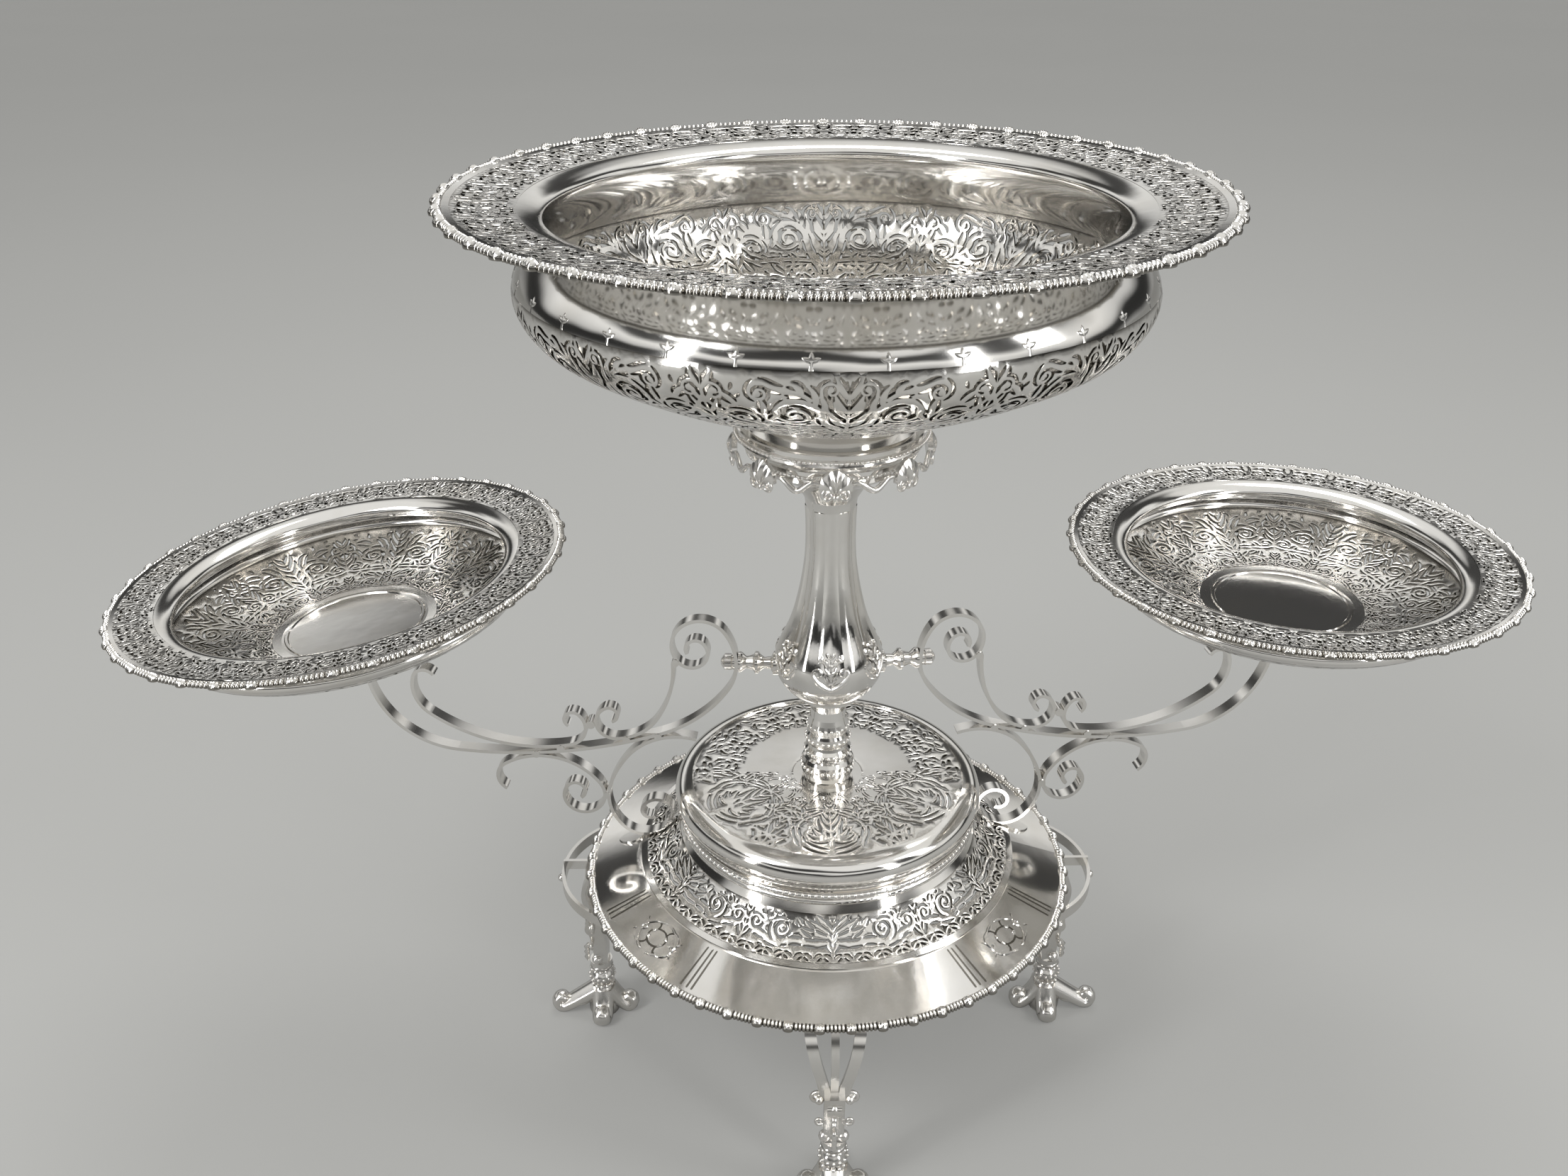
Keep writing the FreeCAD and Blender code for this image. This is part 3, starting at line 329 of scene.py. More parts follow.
            w[(p[:, 1] >= height - margin - 0.3) | (p[:, 1] <= margin + 0.3)] = 0.0
        return cuts

    def mirror(self):
        for pts, w in list(self.strokes):
            self.strokes.append((pts * np.array([-1.0, 1.0]), w))

    def tile(self, width):
        """Repeats what reaches over the left and right edges, so that sectors meet."""
        for pts, w in list(self.strokes):
            reach = w.max() / 2 + 0.5
            if pts[:, 0].max() + reach > width / 2:
                self.strokes.append((pts - (width, 0), w))
            if pts[:, 0].min() - reach < -width / 2:
                self.strokes.append((pts + (width, 0), w))

    def field(self, xs, ys):
        """Depth inside the nearest stroke at each point of a grid; negative outside all of them."""
        f = np.full((len(ys), len(xs)), -1.5)
        for pts, w in self.strokes:
            for (x0, y0), (x1, y1), w0, w1 in zip(pts[:-1], pts[1:], w[:-1], w[1:]):
                reach = max(w0, w1) / 2 + 1.5
                i0, i1 = np.searchsorted(xs, [min(x0, x1) - reach, max(x0, x1) + reach])
                j0, j1 = np.searchsorted(ys, [min(y0, y1) - reach, max(y0, y1) + reach])
                if i0 >= i1 or j0 >= j1:
                    continue
                gx, gy = xs[None, i0:i1] - x0, ys[j0:j1, None] - y0
                dx, dy = x1 - x0, y1 - y0
                t = np.clip((gx * dx + gy * dy) / max(dx * dx + dy * dy, 1e-9), 0, 1)
                d = (w0 + (w1 - w0) * t) / 2 - np.hypot(gx - t * dx, gy - t * dy)
                block = f[j0:j1, i0:i1]
                np.maximum(block, d, out=block)
        return f


def contour(f, xs, ys, level):
    """Closed outlines of f > level on a grid."""
    g = np.pad(f - level, 1, constant_values=-1e6)
    g[np.abs(g) < 1e-6] = 1e-6
    px = np.concatenate([[xs[0] - (xs[1] - xs[0])], xs, [xs[-1] + (xs[1] - xs[0])]])
    py = np.concatenate([[ys[0] - (ys[1] - ys[0])], ys, [ys[-1] + (ys[1] - ys[0])]])
    inside = g > 0
    code = (inside[:-1, :-1] * 1 + inside[:-1, 1:] * 2 + inside[1:, 1:] * 4 + inside[1:, :-1] * 8)
    links = {}
    where = {}

    def cross(j, i, vertical):
        key = (j, i, vertical)
        if key not in where:
            j2, i2 = (j + 1, i) if vertical else (j, i + 1)
            a, b = g[j, i], g[j2, i2]
            where[key] = (px[i] + (px[i2] - px[i]) * a / (a - b), py[j] + (py[j2] - py[j]) * a / (a - b))
        return key

    table = {1: [(3, 0)], 2: [(0, 1)], 3: [(3, 1)], 4: [(1, 2)], 6: [(0, 2)], 7: [(3, 2)], 8: [(2, 3)],
             9: [(2, 0)], 11: [(2, 1)], 12: [(1, 3)], 13: [(1, 0)], 14: [(0, 3)]}
    saddles = {5: ([(3, 0), (1, 2)], [(3, 2), (1, 0)]), 10: ([(0, 1), (2, 3)], [(0, 3), (2, 1)])}
    for j, i in zip(*np.nonzero((code > 0) & (code < 15))):
        c = int(code[j, i])
        pairs = saddles[c][int(g[j:j + 2, i:i + 2].mean() > 0)] if c in saddles else table[c]
        edge = {0: (j, i, False), 1: (j, i + 1, True), 2: (j + 1, i, False), 3: (j, i, True)}
        for a, b in pairs:
            links[cross(*edge[a])] = cross(*edge[b])
    loops = []
    while links:
        start, nxt = links.popitem()
        loop = [start]
        while nxt != start and nxt in links:
            loop.append(nxt)
            nxt = links.pop(nxt)
        if nxt == start and len(loop) > 3:
            loops.append(np.array([where[k] for k in loop]))
    return loops


def thin_out(loop, tolerance, longest):
    """Fewer points on a closed outline, none further than tolerance from it."""
    n = len(loop)
    far = int(np.argmax(np.hypot(*(loop - loop[0]).T)))
    keep = {0, far}
    stack = [(0, far), (far, n)]
    while stack:
        a, b = stack.pop()
        if b - a < 2:
            continue
        p, q = loop[a], loop[b % n]
        seg = loop[a + 1:b]
        d = q - p
        length = math.hypot(*d)
        if length < 1e-9:
            dist = np.hypot(*(seg - p).T)
        else:
            dist = np.abs(d[0] * (seg[:, 1] - p[1]) - d[1] * (seg[:, 0] - p[0])) / length
        k = int(np.argmax(dist))
        if dist[k] > tolerance:
            m = a + 1 + k
        elif length > longest:
            m = (a + b) // 2
        else:
            continue
        keep.add(m)
        stack += [(a, m), (m, b)]
    return loop[sorted(keep)]


class Surface:
    """A surface of revolution, laid out so that drawn shapes keep their proportions on it."""

    def __init__(self, points, reference, facing):
        self.p = np.asarray(points, float) if len(points) > 20 else spline(points)
        d = np.diff(self.p, axis=0)
        step = np.hypot(*d.T)
        self.v = np.concatenate([[0], np.cumsum(step * reference / (0.5 * (self.p[1:, 0] + self.p[:-1, 0])))])
        tangent = np.gradient(self.p, axis=0)
        tangent /= np.hypot(*tangent.T)[:, None]
        self.n = np.stack([-tangent[:, 1], tangent[:, 0]], 1) * facing
        self.reference, self.facing = reference, facing
        self.height = self.v[-1]

    def place(self, u, v, h, start):
        r, z = np.interp(v, self.v, self.p[:, 0]), np.interp(v, self.v, self.p[:, 1])
        r = r + np.interp(v, self.v, self.n[:, 0]) * h
        z = z + np.interp(v, self.v, self.n[:, 1]) * h
        a = math.radians(start) + u / self.reference
        return np.stack([r * np.cos(a), r * np.sin(a), z], -1)


def flat_sheet(drawing, width, height, step, cuts, spread):
    """Metal laid flat as points, their relief, triangles and cut edges. Without cuts, the metal is what the
    drawing covers; with them it is a whole sheet less the cuts, which never reach into the drawing."""
    nx = int(round(width / step)) + 1
    ny = int(round(height / step)) + 1
    xs, ys = np.linspace(-width / 2, width / 2, nx), np.linspace(0.0, height, ny)
    drawing.tile(width)
    f = drawing.field(xs, ys)
    if cuts is not None:
        cuts.tile(width)
        f = np.maximum(f, np.minimum(1.5, -cuts.field(xs, ys)))
    f[:, -1] = f[:, 0] = np.minimum(f[:, 0], f[:, -1])
    levels, rises = [0.0, 0.45 if cuts is None else 0.22], [0.0, 1.0]
    points, edges, raised = [], [], []
    for level, rise in zip(levels, rises):
        for loop in contour(f, xs, ys, level):
            loop = thin_out(loop, 0.05, 2.8)
            if len(loop) < 4:
                continue
            base = len(points)
            points += [tuple(p) for p in loop]
            raised += [rise] * len(loop)
            edges += [(base + k, base + (k + 1) % len(loop)) for k in range(len(loop))]
    for j, y in enumerate(np.arange(spread / 2, height, spread)):
        for x in np.arange(-width / 2 + spread * (0.5 if j % 2 else 0.9), width / 2 - 0.4, spread):
            value = f[int(np.argmin(np.abs(ys - y))), int(np.argmin(np.abs(xs - x)))]
            if value > levels[-1] + 0.4:
                points.append((x, y))
                raised.append(float(np.interp(value, levels, rises)))
    out = geometry.delaunay_2d_cdt([Vector(p) for p in points], edges, [], 0, 1e-6, True)
    flat = np.array([tuple(v) for v in out[0]])
    relief = np.array([raised[o[0]] if len(o) else 0.0 for o in out[3]])
    side = np.abs(np.abs(flat[:, 0]) - width / 2) < 1e-3
    flat[side, 0] = np.sign(flat[side, 0]) * width / 2
    relief[side] = np.interp(np.interp(flat[side, 1], ys, f[:, 0]), levels, rises)
    tri = np.array([t for t in out[2] if len(t) == 3])
    mid = flat[tri].mean(1)
    gx = np.clip((mid[:, 0] - xs[0]) / (xs[1] - xs[0]), 0, nx - 1.001)
    gy = np.clip((mid[:, 1] - ys[0]) / (ys[1] - ys[0]), 0, ny - 1.001)
    i, j = gx.astype(int), gy.astype(int)
    tx, ty = gx - i, gy - j
    value = ((1 - ty) * ((1 - tx) * f[j, i] + tx * f[j, i + 1])
             + ty * ((1 - tx) * f[j + 1, i] + tx * f[j + 1, i + 1]))
    tri = tri[value > 0]
    once = {(int(t[k]), int(t[(k + 1) % 3])) for t in tri for k in range(3)}
    rim = [(a, b) for a, b in sorted(once) if (b, a) not in once and not (side[a] and side[b])]
    return flat, relief, tri, rim


def cut_sheet(surface, drawing, sectors, starts, gauge, relief, step, cuts=None, back_relief=0.0, spread=3.4,
              height=None):
    """Metal on a surface of revolution, repeated at the given azimuths: vertices, faces and relief."""
    width = 2 * math.pi * surface.reference / sectors
    flat, rise, tri, rim = flat_sheet(drawing, width, height or surface.height, step, cuts, spread)
    if surface.facing > 0:
        tri = tri[:, ::-1]
        rim = [(b, a) for a, b in rim]
    n = len(flat)
    parts = []
    for start in starts:
        front = surface.place(flat[:, 0], flat[:, 1], relief * rise, start)
        back = surface.place(flat[:, 0], flat[:, 1], -gauge - back_relief * rise, start)
        faces = [tuple(t) for t in tri] + [(t[2] + n, t[1] + n, t[0] + n) for t in tri]
        faces += [(b, a, a + n, b + n) for a, b in rim]
        parts.append((np.concatenate([front, back]), faces))
    verts, faces = joined(parts)
    return verts, faces, np.tile(np.concatenate([rise, rise]), len(starts))


# Materials
def add_node(tree, kind, inputs=(), **settings):
    """A shader node; each input takes either a value or the socket that feeds it."""
    node = tree.nodes.new("ShaderNode" + kind)
    for name, value in settings.items():
        setattr(node, name, value)
    for name, value in dict(inputs).items():
        if isinstance(value, bpy.types.NodeSocket):
            tree.links.new(value, node.inputs[name])
        else:
            node.inputs[name].default_value = value
    return node


def silver(name, rough, spread, patina=0.0, grain=0.05, bump=0.03, use_relief=False):
    """Silver with faint clouding; patina darkens the cut edges, or the hollows where there is no relief."""
    m = bpy.data.materials.new(name)
    m.use_nodes = True
    tree = m.node_tree
    place = add_node(tree, "TexCoord").outputs["Object"]
    noises = [add_node(tree, "TexNoise", {"Scale": scale, "Detail": detail, "Vector": place})
              for scale, detail in ((38.0, 6.0), (900.0, 4.0), (70.0, 2.0))]
    cloud, fine, soft = [noise.outputs["Fac"] for noise in noises]
    roughness = add_node(tree, "MapRange", {"Value": cloud, "To Min": rough, "To Max": rough + spread})
    warm = add_node(tree, "MapRange", {"Value": cloud, "From Min": 0.42, "From Max": 0.75, "To Max": 0.55})
    colour = add_node(tree, "Mix", {"A": (0.90, 0.885, 0.86, 1), "B": (0.72, 0.685875, 0.6192, 1),
                                    "Factor": warm.outputs["Result"]}, data_type="RGBA").outputs["Result"]
    if patina > 0:
        if use_relief:
            source, low, high = add_node(tree, "Attribute", attribute_name="relief").outputs["Fac"], 0.0, 0.8
        else:
            source, low, high = add_node(tree, "NewGeometry").outputs["Pointiness"], 0.40, 0.50
        level = add_node(tree, "MapRange", {"Value": source, "From Min": low, "From Max": high,
                                            "To Min": patina, "To Max": 0.0})
        tarnish = {"A": colour, "B": (0.16, 0.145, 0.12, 1), "Factor": level.outputs["Result"]}
        colour = add_node(tree, "Mix", tarnish, data_type="RGBA").outputs["Result"]
    height = add_node(tree, "Math", {0: fine, 1: grain, 2: soft}, operation="MULTIPLY_ADD")
    bumper = add_node(tree, "Bump", {"Strength": bump, "Distance": 0.0004, "Height": height.outputs["Value"]})
    shader = tree.nodes["Principled BSDF"]
    shader.inputs["Metallic"].default_value = 1.0
    for socket, source in (("Roughness", roughness.outputs["Result"]), ("Base Color", colour),
                           ("Normal", bumper.outputs["Normal"])):
        tree.links.new(source, shader.inputs[socket])
    return m


POLISHED = silver("silver_polished", 0.07, 0.07, bump=0.10)
PIERCED = silver("silver_pierced", 0.11, 0.08, patina=0.92, use_relief=True, bump=0.12)
BORDER = silver("silver_border", 0.12, 0.08, patina=0.9, use_relief=True, bump=0.1)
CHASED = silver("silver_chased", 0.12, 0.08, patina=0.45, use_relief=True, bump=0.08)
CAST = silver("silver_cast", 0.16, 0.12, patina=0.8, bump=0.12, grain=0.3)
STRAP = silver("silver_strap", 0.13, 0.06, patina=0.25, bump=0.08)


# Patterns, drawn flat in millimetres with their lower edge at y = 0
def wall_ornament():
    """The stems of the wall's scrollwork, for a sector 78.5 wide and 98 high."""
    d = Drawing()
    # the row under the shoulder
    d.scroll((2.0, 64.0), 70, (14.5, 83.0), 7.4, 175, 1.7, -1, 1.9, 1.2, 1.5)
    d.scroll((5.0, 71.0), 10, (29.5, 79.0), 7.2, 265, 1.7, 1, 1.8, 1.1, 1.5)
    d.scroll((19.0, 70.5), 20, (36.0, 90.5), 3.6, 330, 1.4, 1, 1.3, 0.9, 1.1)
    d.scroll((10.0, 90.0), 40, (23.5, 91.5), 3.4, 120, 1.4, -1, 1.3, 0.9, 1.1)
    d.scroll((3.0, 76.0), 88, (4.6, 93.0), 2.6, 0, 1.2, 1, 1.1, 0.8, 0.9)
    d.leaves(1.7, (
        (7.4, 84.0, 118, 8, -70), (8.6, 88.0, 96, 7, -60), (12.0, 91.6, 70, 5, -70),
        (22.0, 79.0, 130, 9, -40), (23.0, 83.0, 100, 7, -30), (30.5, 87.0, 60, 6, -40),
        (27.5, 69.0, 30, 8, 40), (36.5, 76.0, 80, 8, 30), (14.0, 69.0, 100, 7, -40),
        (19.0, 64.0, 40, 8, 40), (33.0, 66.0, 60, 8, 30)))
    # the wall below it
    d.scroll((2.0, 4.0), 30, (16.0, 24.0), 9.5, 300, 1.8, 1, 2.2, 1.3, 1.8)
    d.scroll((16.0, 8.0), 8, (31.0, 16.0), 6.2, 280, 1.6, 1, 1.9, 1.2, 1.4)
    d.scroll((27.0, 32.0), 70, (26.5, 50.0), 8.2, 0, 1.7, 1, 2.0, 1.2, 1.6)
    d.scroll((26.5, 38.0), 120, (10.0, 50.0), 6.2, 300, 1.6, -1, 1.8, 1.1, 1.4)
    d.scroll((30.0, 24.0), 60, (35.0, 38.0), 4.0, 0, 1.3, 1, 1.4, 1.0, 1.1)
    d.leaves(2.0, (
        (5.0, 36.0, 60, 9, 40), (8.0, 12.0, 96, 10, -30), (20.0, 58.0, 50, 8, -40), (12.0, 40.0, 20, 9, 50),
        (24.0, 24.0, 60, 9, 30), (16.0, 34.0, 10, 8, 60), (34.0, 46.0, 80, 9, 20), (34.0, 58.0, 100, 7, 30),
        (6.0, 57.0, 40, 8, 40)))
    d.mirror()
    d.add([(0, -1), (0, 14), (0, 36)], [2.6, 1.6, 1.3])
    d.frond((0, 36), 90, 22, 2.4, 0, 5)
    d.frond((0, 62), 90, 34, 2.6, 0, 7)
    for x in (-39.27, 39.27):
        d.add([(x, -1), (x, 22), (x, 44)], [2.0, 1.3, 1.3])
        d.frond((x, 44), 90, 20, 2.2, 0, 5)
        d.frond((x, 66), 90, 30, 2.4, 0, 6)
    return d


def rim_slits(width, height):
    """Small curved slits in three rows, as if cut round a running scroll, drawn for 30 by 21."""
    d = Drawing()
    k, h = width / 30.0, height / 21.0
    w = 1.25 * min(k, h)
    for r, turns in ((4.6, (40, 112, 184, 256, 328)), (1.7, (10, 190))):
        for a in turns:
            x, y = 7.6 + r * math.cos(math.radians(a)), 10.4 + r * math.sin(math.radians(a))
            d.leaf((x * k, y * h), a + 104, 0.92 * r * min(k, h), w, 50)
    for x, y, heading, length, curl in (
            (1.4, 3.0, 60, 5.0, -40), (2.6, 8.4, 82, 4.6, 30), (1.6, 14.4, 60, 5.0, 40),
            (5.6, 3.4, 8, 4.2, 20), (11.6, 3.8, 50, 4.2, -40), (14.4, 8.4, 96, 4.6, -30),
            (12.2, 15.6, 60, 4.4, 40), (5.4, 17.4, 10, 4.4, 30), (9.6, 18.2, -12, 4.0, 40),
            (13.6, 13.0, 60, 3.4, 40), (11.4, 1.6, 0, 3.6, 0), (3.0, 18.6, 120, 2.0, 0)):
        d.leaf((x * k, y * h), heading, length * min(k, h), w, curl)
    d.mirror()
    return d


def side_ornament():
    """Volutes under the side bowl's shoulder and a row of leaves round its plain centre."""
    d = Drawing()
    d.scroll((2.0, 40.0), 60, (17.5, 68.0), 10.6, 185, 1.7, -1, 2.9, 1.9, 2.2)
    d.scroll((8.0, 46.0), 0, (32.0, 54.0), 7.4, 270, 1.5, 1, 2.6, 1.7, 2.0)
    d.scroll((27.0, 70.0), 40, (35.0, 82.0), 5.0, 250, 1.3, 1, 2.0, 1.4, 1.6)
    d.leaves(2.8, (
        (7.0, 70.0, 112, 14, -60), (10.0, 78.0, 84, 13, -60), (20.0, 82.0, 40, 11, -50),
        (24.0, 46.0, 100, 9, 40), (28.0, 92.0, 10, 10, 20)))
    d.scroll((2.0, 3.0), 20, (16.5, 17.0), 8.4, 290, 1.6, 1, 2.6, 1.7, 2.0)
    d.scroll((20.0, 6.0), 4, (31.5, 16.0), 6.0, 280, 1.4, 1, 2.3, 1.5, 1.7)
    d.leaves(2.8, (
        (6.0, 28.0, 40, 12, 30), (22.0, 28.0, 60, 12, 30), (13.0, 33.0, 20, 11, 40)))
    d.mirror()
    d.add([(0, -1), (0, 8)], [3.4, 2.4])
    d.frond((0, 8), 90, 28, 3.2, 0, 5)
    d.frond((0, 42), 90, 50, 3.8, 0, 6)
    for x in (-39.27, 39.27):
        d.frond((x, 2), 90, 34, 3.2, 0, 5)
        d.frond((x, 50), 90, 42, 3.4, 0, 5)
    return d


def cove_ornament(width, height):
    """Acanthus sprays that end in volutes, over a row of small arcs, for a sixth of the base's cove."""
    d = Drawing()
    k, h = width / 77.5, height / 24.0
    for y, heading, length, curl in (
            (12.0, 8, 13, 20), (14.0, 26, 12, 10), (16.0, 44, 9, 0), (10.0, -12, 11, 30)):
        d.leaf((1.5 * k, y * h), heading, length * k, 2.2 * h, curl)
    d.scroll((6.0 * k, 9.0 * h), 0, (22.0 * k, 14.5 * h), 6.2 * h, 250, 1.6, 1, 2.0 * h, 1.2 * h, 1.6 * h)
    d.scroll((22.0 * k, 7.0 * h), 0, (34.0 * k, 15.0 * h), 4.4 * h, 270, 1.4, 1, 1.8 * h, 1.1 * h, 1.4 * h)
    d.leaf((14.0 * k, 17.0 * h), 70, 5.0 * h, 1.8 * h, -40)
    d.leaf((29.0 * k, 19.0 * h), 100, 4.0 * h, 1.6 * h, 40)
    for x in (3.9, 11.6, 19.4, 27.1, 34.9):
        d.leaf(((x - 3.0) * k, 1.2 * h), 58, 4.6 * h, 1.1 * h, -60)
        d.leaf(((x + 3.0) * k, 1.2 * h), 122, 4.6 * h, 1.1 * h, 60)
        d.dot((x * k, 3.0 * h), 0.7 * h)
    d.mirror()
    d.frond((0, 4.0 * h), 90, 17 * h, 2.0 * h, 0, 4)
    for x in (-width / 2, width / 2):
        d.frond((x, 5.0 * h), 90, 16 * h, 1.9 * h, 0, 4)
    return d


def palmette_ornament(width, height):
    """An upright leaf with a fan of leaves at its foot, in a frame of two long scrolls."""
    d = Drawing()
    d.frond((0, 9.0), 90, 30, 2.6, 0, 5)
    d.dot((0, 8.0), 1.3)
    for heading, length in ((62, 10), (36, 9.5), (12, 8.5), (-14, 6.5)):
        d.leaf((0.8, 8.0), heading, length, 1.6, 26)
    d.chain((0.8, 2.6), 4, [(15, 52), (9.5, 70), (26, 40), (10, 80), (3.6, 150)], 1.3, 0.9, 0.4, 0.9)
    d.chain((14.0, 6.0), 20, [(9, -60), (3.6, -140), (2.0, -120)], 1.2, 0.8, 0.2, 0.8)
    d.chain((15.0, 20.0), 60, [(10, -60), (4.2, -130), (2.2, -120)], 1.2, 0.8, 0.2, 0.8)
    d.chain((12.5, 33.0), 80, [(12, 50), (5.0, 120), (2.6, 120)], 1.3, 0.9, 0.2, 0.9)
    d.leaves(1.6, (
        (9.0, 4.0, 60, 6, 40), (18.0, 3.0, 110, 6, 40), (16.5, 13.5, 70, 6, -40), (12.5, 25.0, 40, 7, 40),
        (5.0, 40.0, 60, 7, 40), (14.0, 42.0, 100, 8, 30), (18.0, 29.0, 100, 8, 24), (8.0, 46.5, 90, 7, -30)))
    d.mirror()
    d.add([(0, 38), (0, height + 1)], [1.2, 1.6])
    for x in (-width / 2, width / 2):
        d.frond((x, -1), 90, 18, 1.8, 0, 4)
        for y in (24.0, 37.0):
            for k in range(6):
                d.leaf((x, y), 60 * k, 4.2, 1.4, 10)
    return d


def trefoil():
    """Three small leaves on a stalk."""
    d = Drawing()
    d.add([(0, -0.4), (0, 3.2)], [1.5, 0.8])
    for heading in (90, 25, 155):
        d.leaf((0, 2.6), heading, 3.2, 1.5, 0)
    d.dot((0, 2.6), 0.8)
    return d


def panel_ornament(width, height):
    """Upright ribs at both ends of a panel and a framed oval with scrolls between them."""
    d = Drawing()
    for x in (0.5 * width - 1.2, 0.5 * width - 3.4, 0.5 * width - 6.2):
        d.add([(x, 1.0), (x, height - 1.0)], [0.9, 0.9])
    d.chain((2.0, 3.0), 10, [(11, 60), (5.0, 110), (2.6, 140)], 1.2, 0.7, 0.3, 0.9)
    d.chain((2.0, height - 3.0), -10, [(11, -60), (5.0, -110), (2.6, -140)], 1.2, 0.7, 0.3, 0.9)
    d.leaf((7.5, height / 2), 30, 7, 1.5, 30)
    d.leaf((7.5, height / 2), -30, 7, 1.5, -30)
    d.mirror()
    ring = [(5.2 * math.cos(a), height / 2 + 4.0 * math.sin(a)) for a in np.linspace(0, 2 * math.pi, 25)]
    d.add(ring, [0.9] * 25)
    return d


def azimuths(count, first=-90.0):
    """Directions of count equal sectors in degrees from +X, the first facing the front."""
    return [first + 360.0 * k / count for k in range(count)]


# Gauge of the sheet, how far chased ornament is let in, and how many repeats go round
SHEET = 1.2
LET_IN = 0.05
CENTRAL_SHELLS, SIDE_SHELLS, TRAY_SHELLS = 52, 40, 54
FINIALS, DASHES, DROPS = 32, 240, 8
PALMETTES, SPRAYS, PANELS, BULB_LEAVES = 6, 6, 10, 6


# Shared forms
def band(profile, gauge, segments=192):
    """Plain sheet whose outer face is a profile listed from the rim inwards and down."""
    p = np.asarray(profile, float)
    t = np.gradient(p, axis=0)
    t /= np.hypot(*t.T)[:, None]
    inner = p + np.stack([t[:, 1], -t[:, 0]], 1) * gauge
    return revolve(np.concatenate([p, inner[::-1]]), segments)


def shell_rim(edge_r, width, low, thickness, count, per=44):
    """A cast border: one ribbed shell that stands out in each unit, with five gadroons between two shells."""
    angles = np.linspace(0, 2 * math.pi, count * per, endpoint=False)
    s = np.abs((angles * count / (2 * math.pi) + 0.5) % 1.0 * 2 - 1)
    shell = np.sqrt(np.clip(1 - (s / 0.36) ** 2.2, 0, 1))
    lobe = (np.clip(s - 0.38, 0, 1) / 0.62 * 2.5) % 1.0
    gadroon = np.where(s > 0.38, np.sqrt(np.clip(1 - ((lobe - 0.5) / 0.44) ** 2, 0, 1)), 0)
    tip = edge_r + width * (0.50 + 0.50 * shell + 0.20 * gadroon)
    across = np.array([0.0, 0.10, 0.24, 0.40, 0.56, 0.72, 0.86, 0.95, 1.0, 0.97, 0.6, 0.0])
    swell = np.sin(np.pi * np.clip(across, 0, 1) ** 0.8) ** 0.6
    verts = []
    for j, t in enumerate(across):
        r = edge_r - 0.5 + (tip - edge_r + 0.5) * t
        if j < 8:
            ribs = 1 + 0.16 * np.cos(s * math.pi * 5 / 0.36)
            z = low + thickness * (0.34 + swell[j] * (0.10 + 0.56 * np.maximum(shell * ribs, 0.72 * gadroon)))
        elif j == 8:
            z = low + thickness * (0.24 + 0.14 * shell)
        else:
            z = low + thickness * (0.08 if j == 9 else 0.0) + 0 * s
        verts.append(np.stack([r * np.cos(angles), r * np.sin(angles), z], 1))
    raised = np.maximum(shell, gadroon)
    relief = np.concatenate([np.clip(0.05 + raised * lift * 1.1, 0, 1) for lift in swell])
    return np.concatenate(verts), lattice(len(across), len(angles), wrap=True), relief


def bead_row(radius, height, size, count):
    """A row of small round beads about the axis."""
    return around(ball((radius, 0, height), size, rows=6, cols=8), count)


def coil(centre, radius, turns, start, hand, thick):
    """A tapering scroll in a plane across X that winds in to a small boss."""
    path, radii = [], []
    for k in range(27):
        t = k / 26
        a = math.radians(start) + hand * 2 * math.pi * turns * t
        r = radius * (1 - 0.78 * t)
        path.append((centre[0], centre[1] + r * math.cos(a), centre[2] + r * math.sin(a)))
        radii.append(thick * (1 - 0.35 * t))
    radii[-1] = thick * 1.3
    return tube(path, radii, 8)


# Central bowl
CENTRAL = spline([(139.0, 391.8), (121.5, 389.3), (109.0, 387.6), (105.6, 385.6), (107.4, 380.0),
                  (114.0, 371.0), (118.0, 361.0), (112.0, 347.0), (100.0, 338.6), (85.0, 330.8),
                  (70.0, 324.0), (55.0, 317.6), (40.0, 312.0)])


def run_of(outline, first, last):
    """The part of a dense outline between two tests, each met once along it."""
    a = next(i for i, p in enumerate(outline) if first(p))
    b = next(i for i, p in enumerate(outline) if i > a and last(p))
    return outline[a:b + 1]


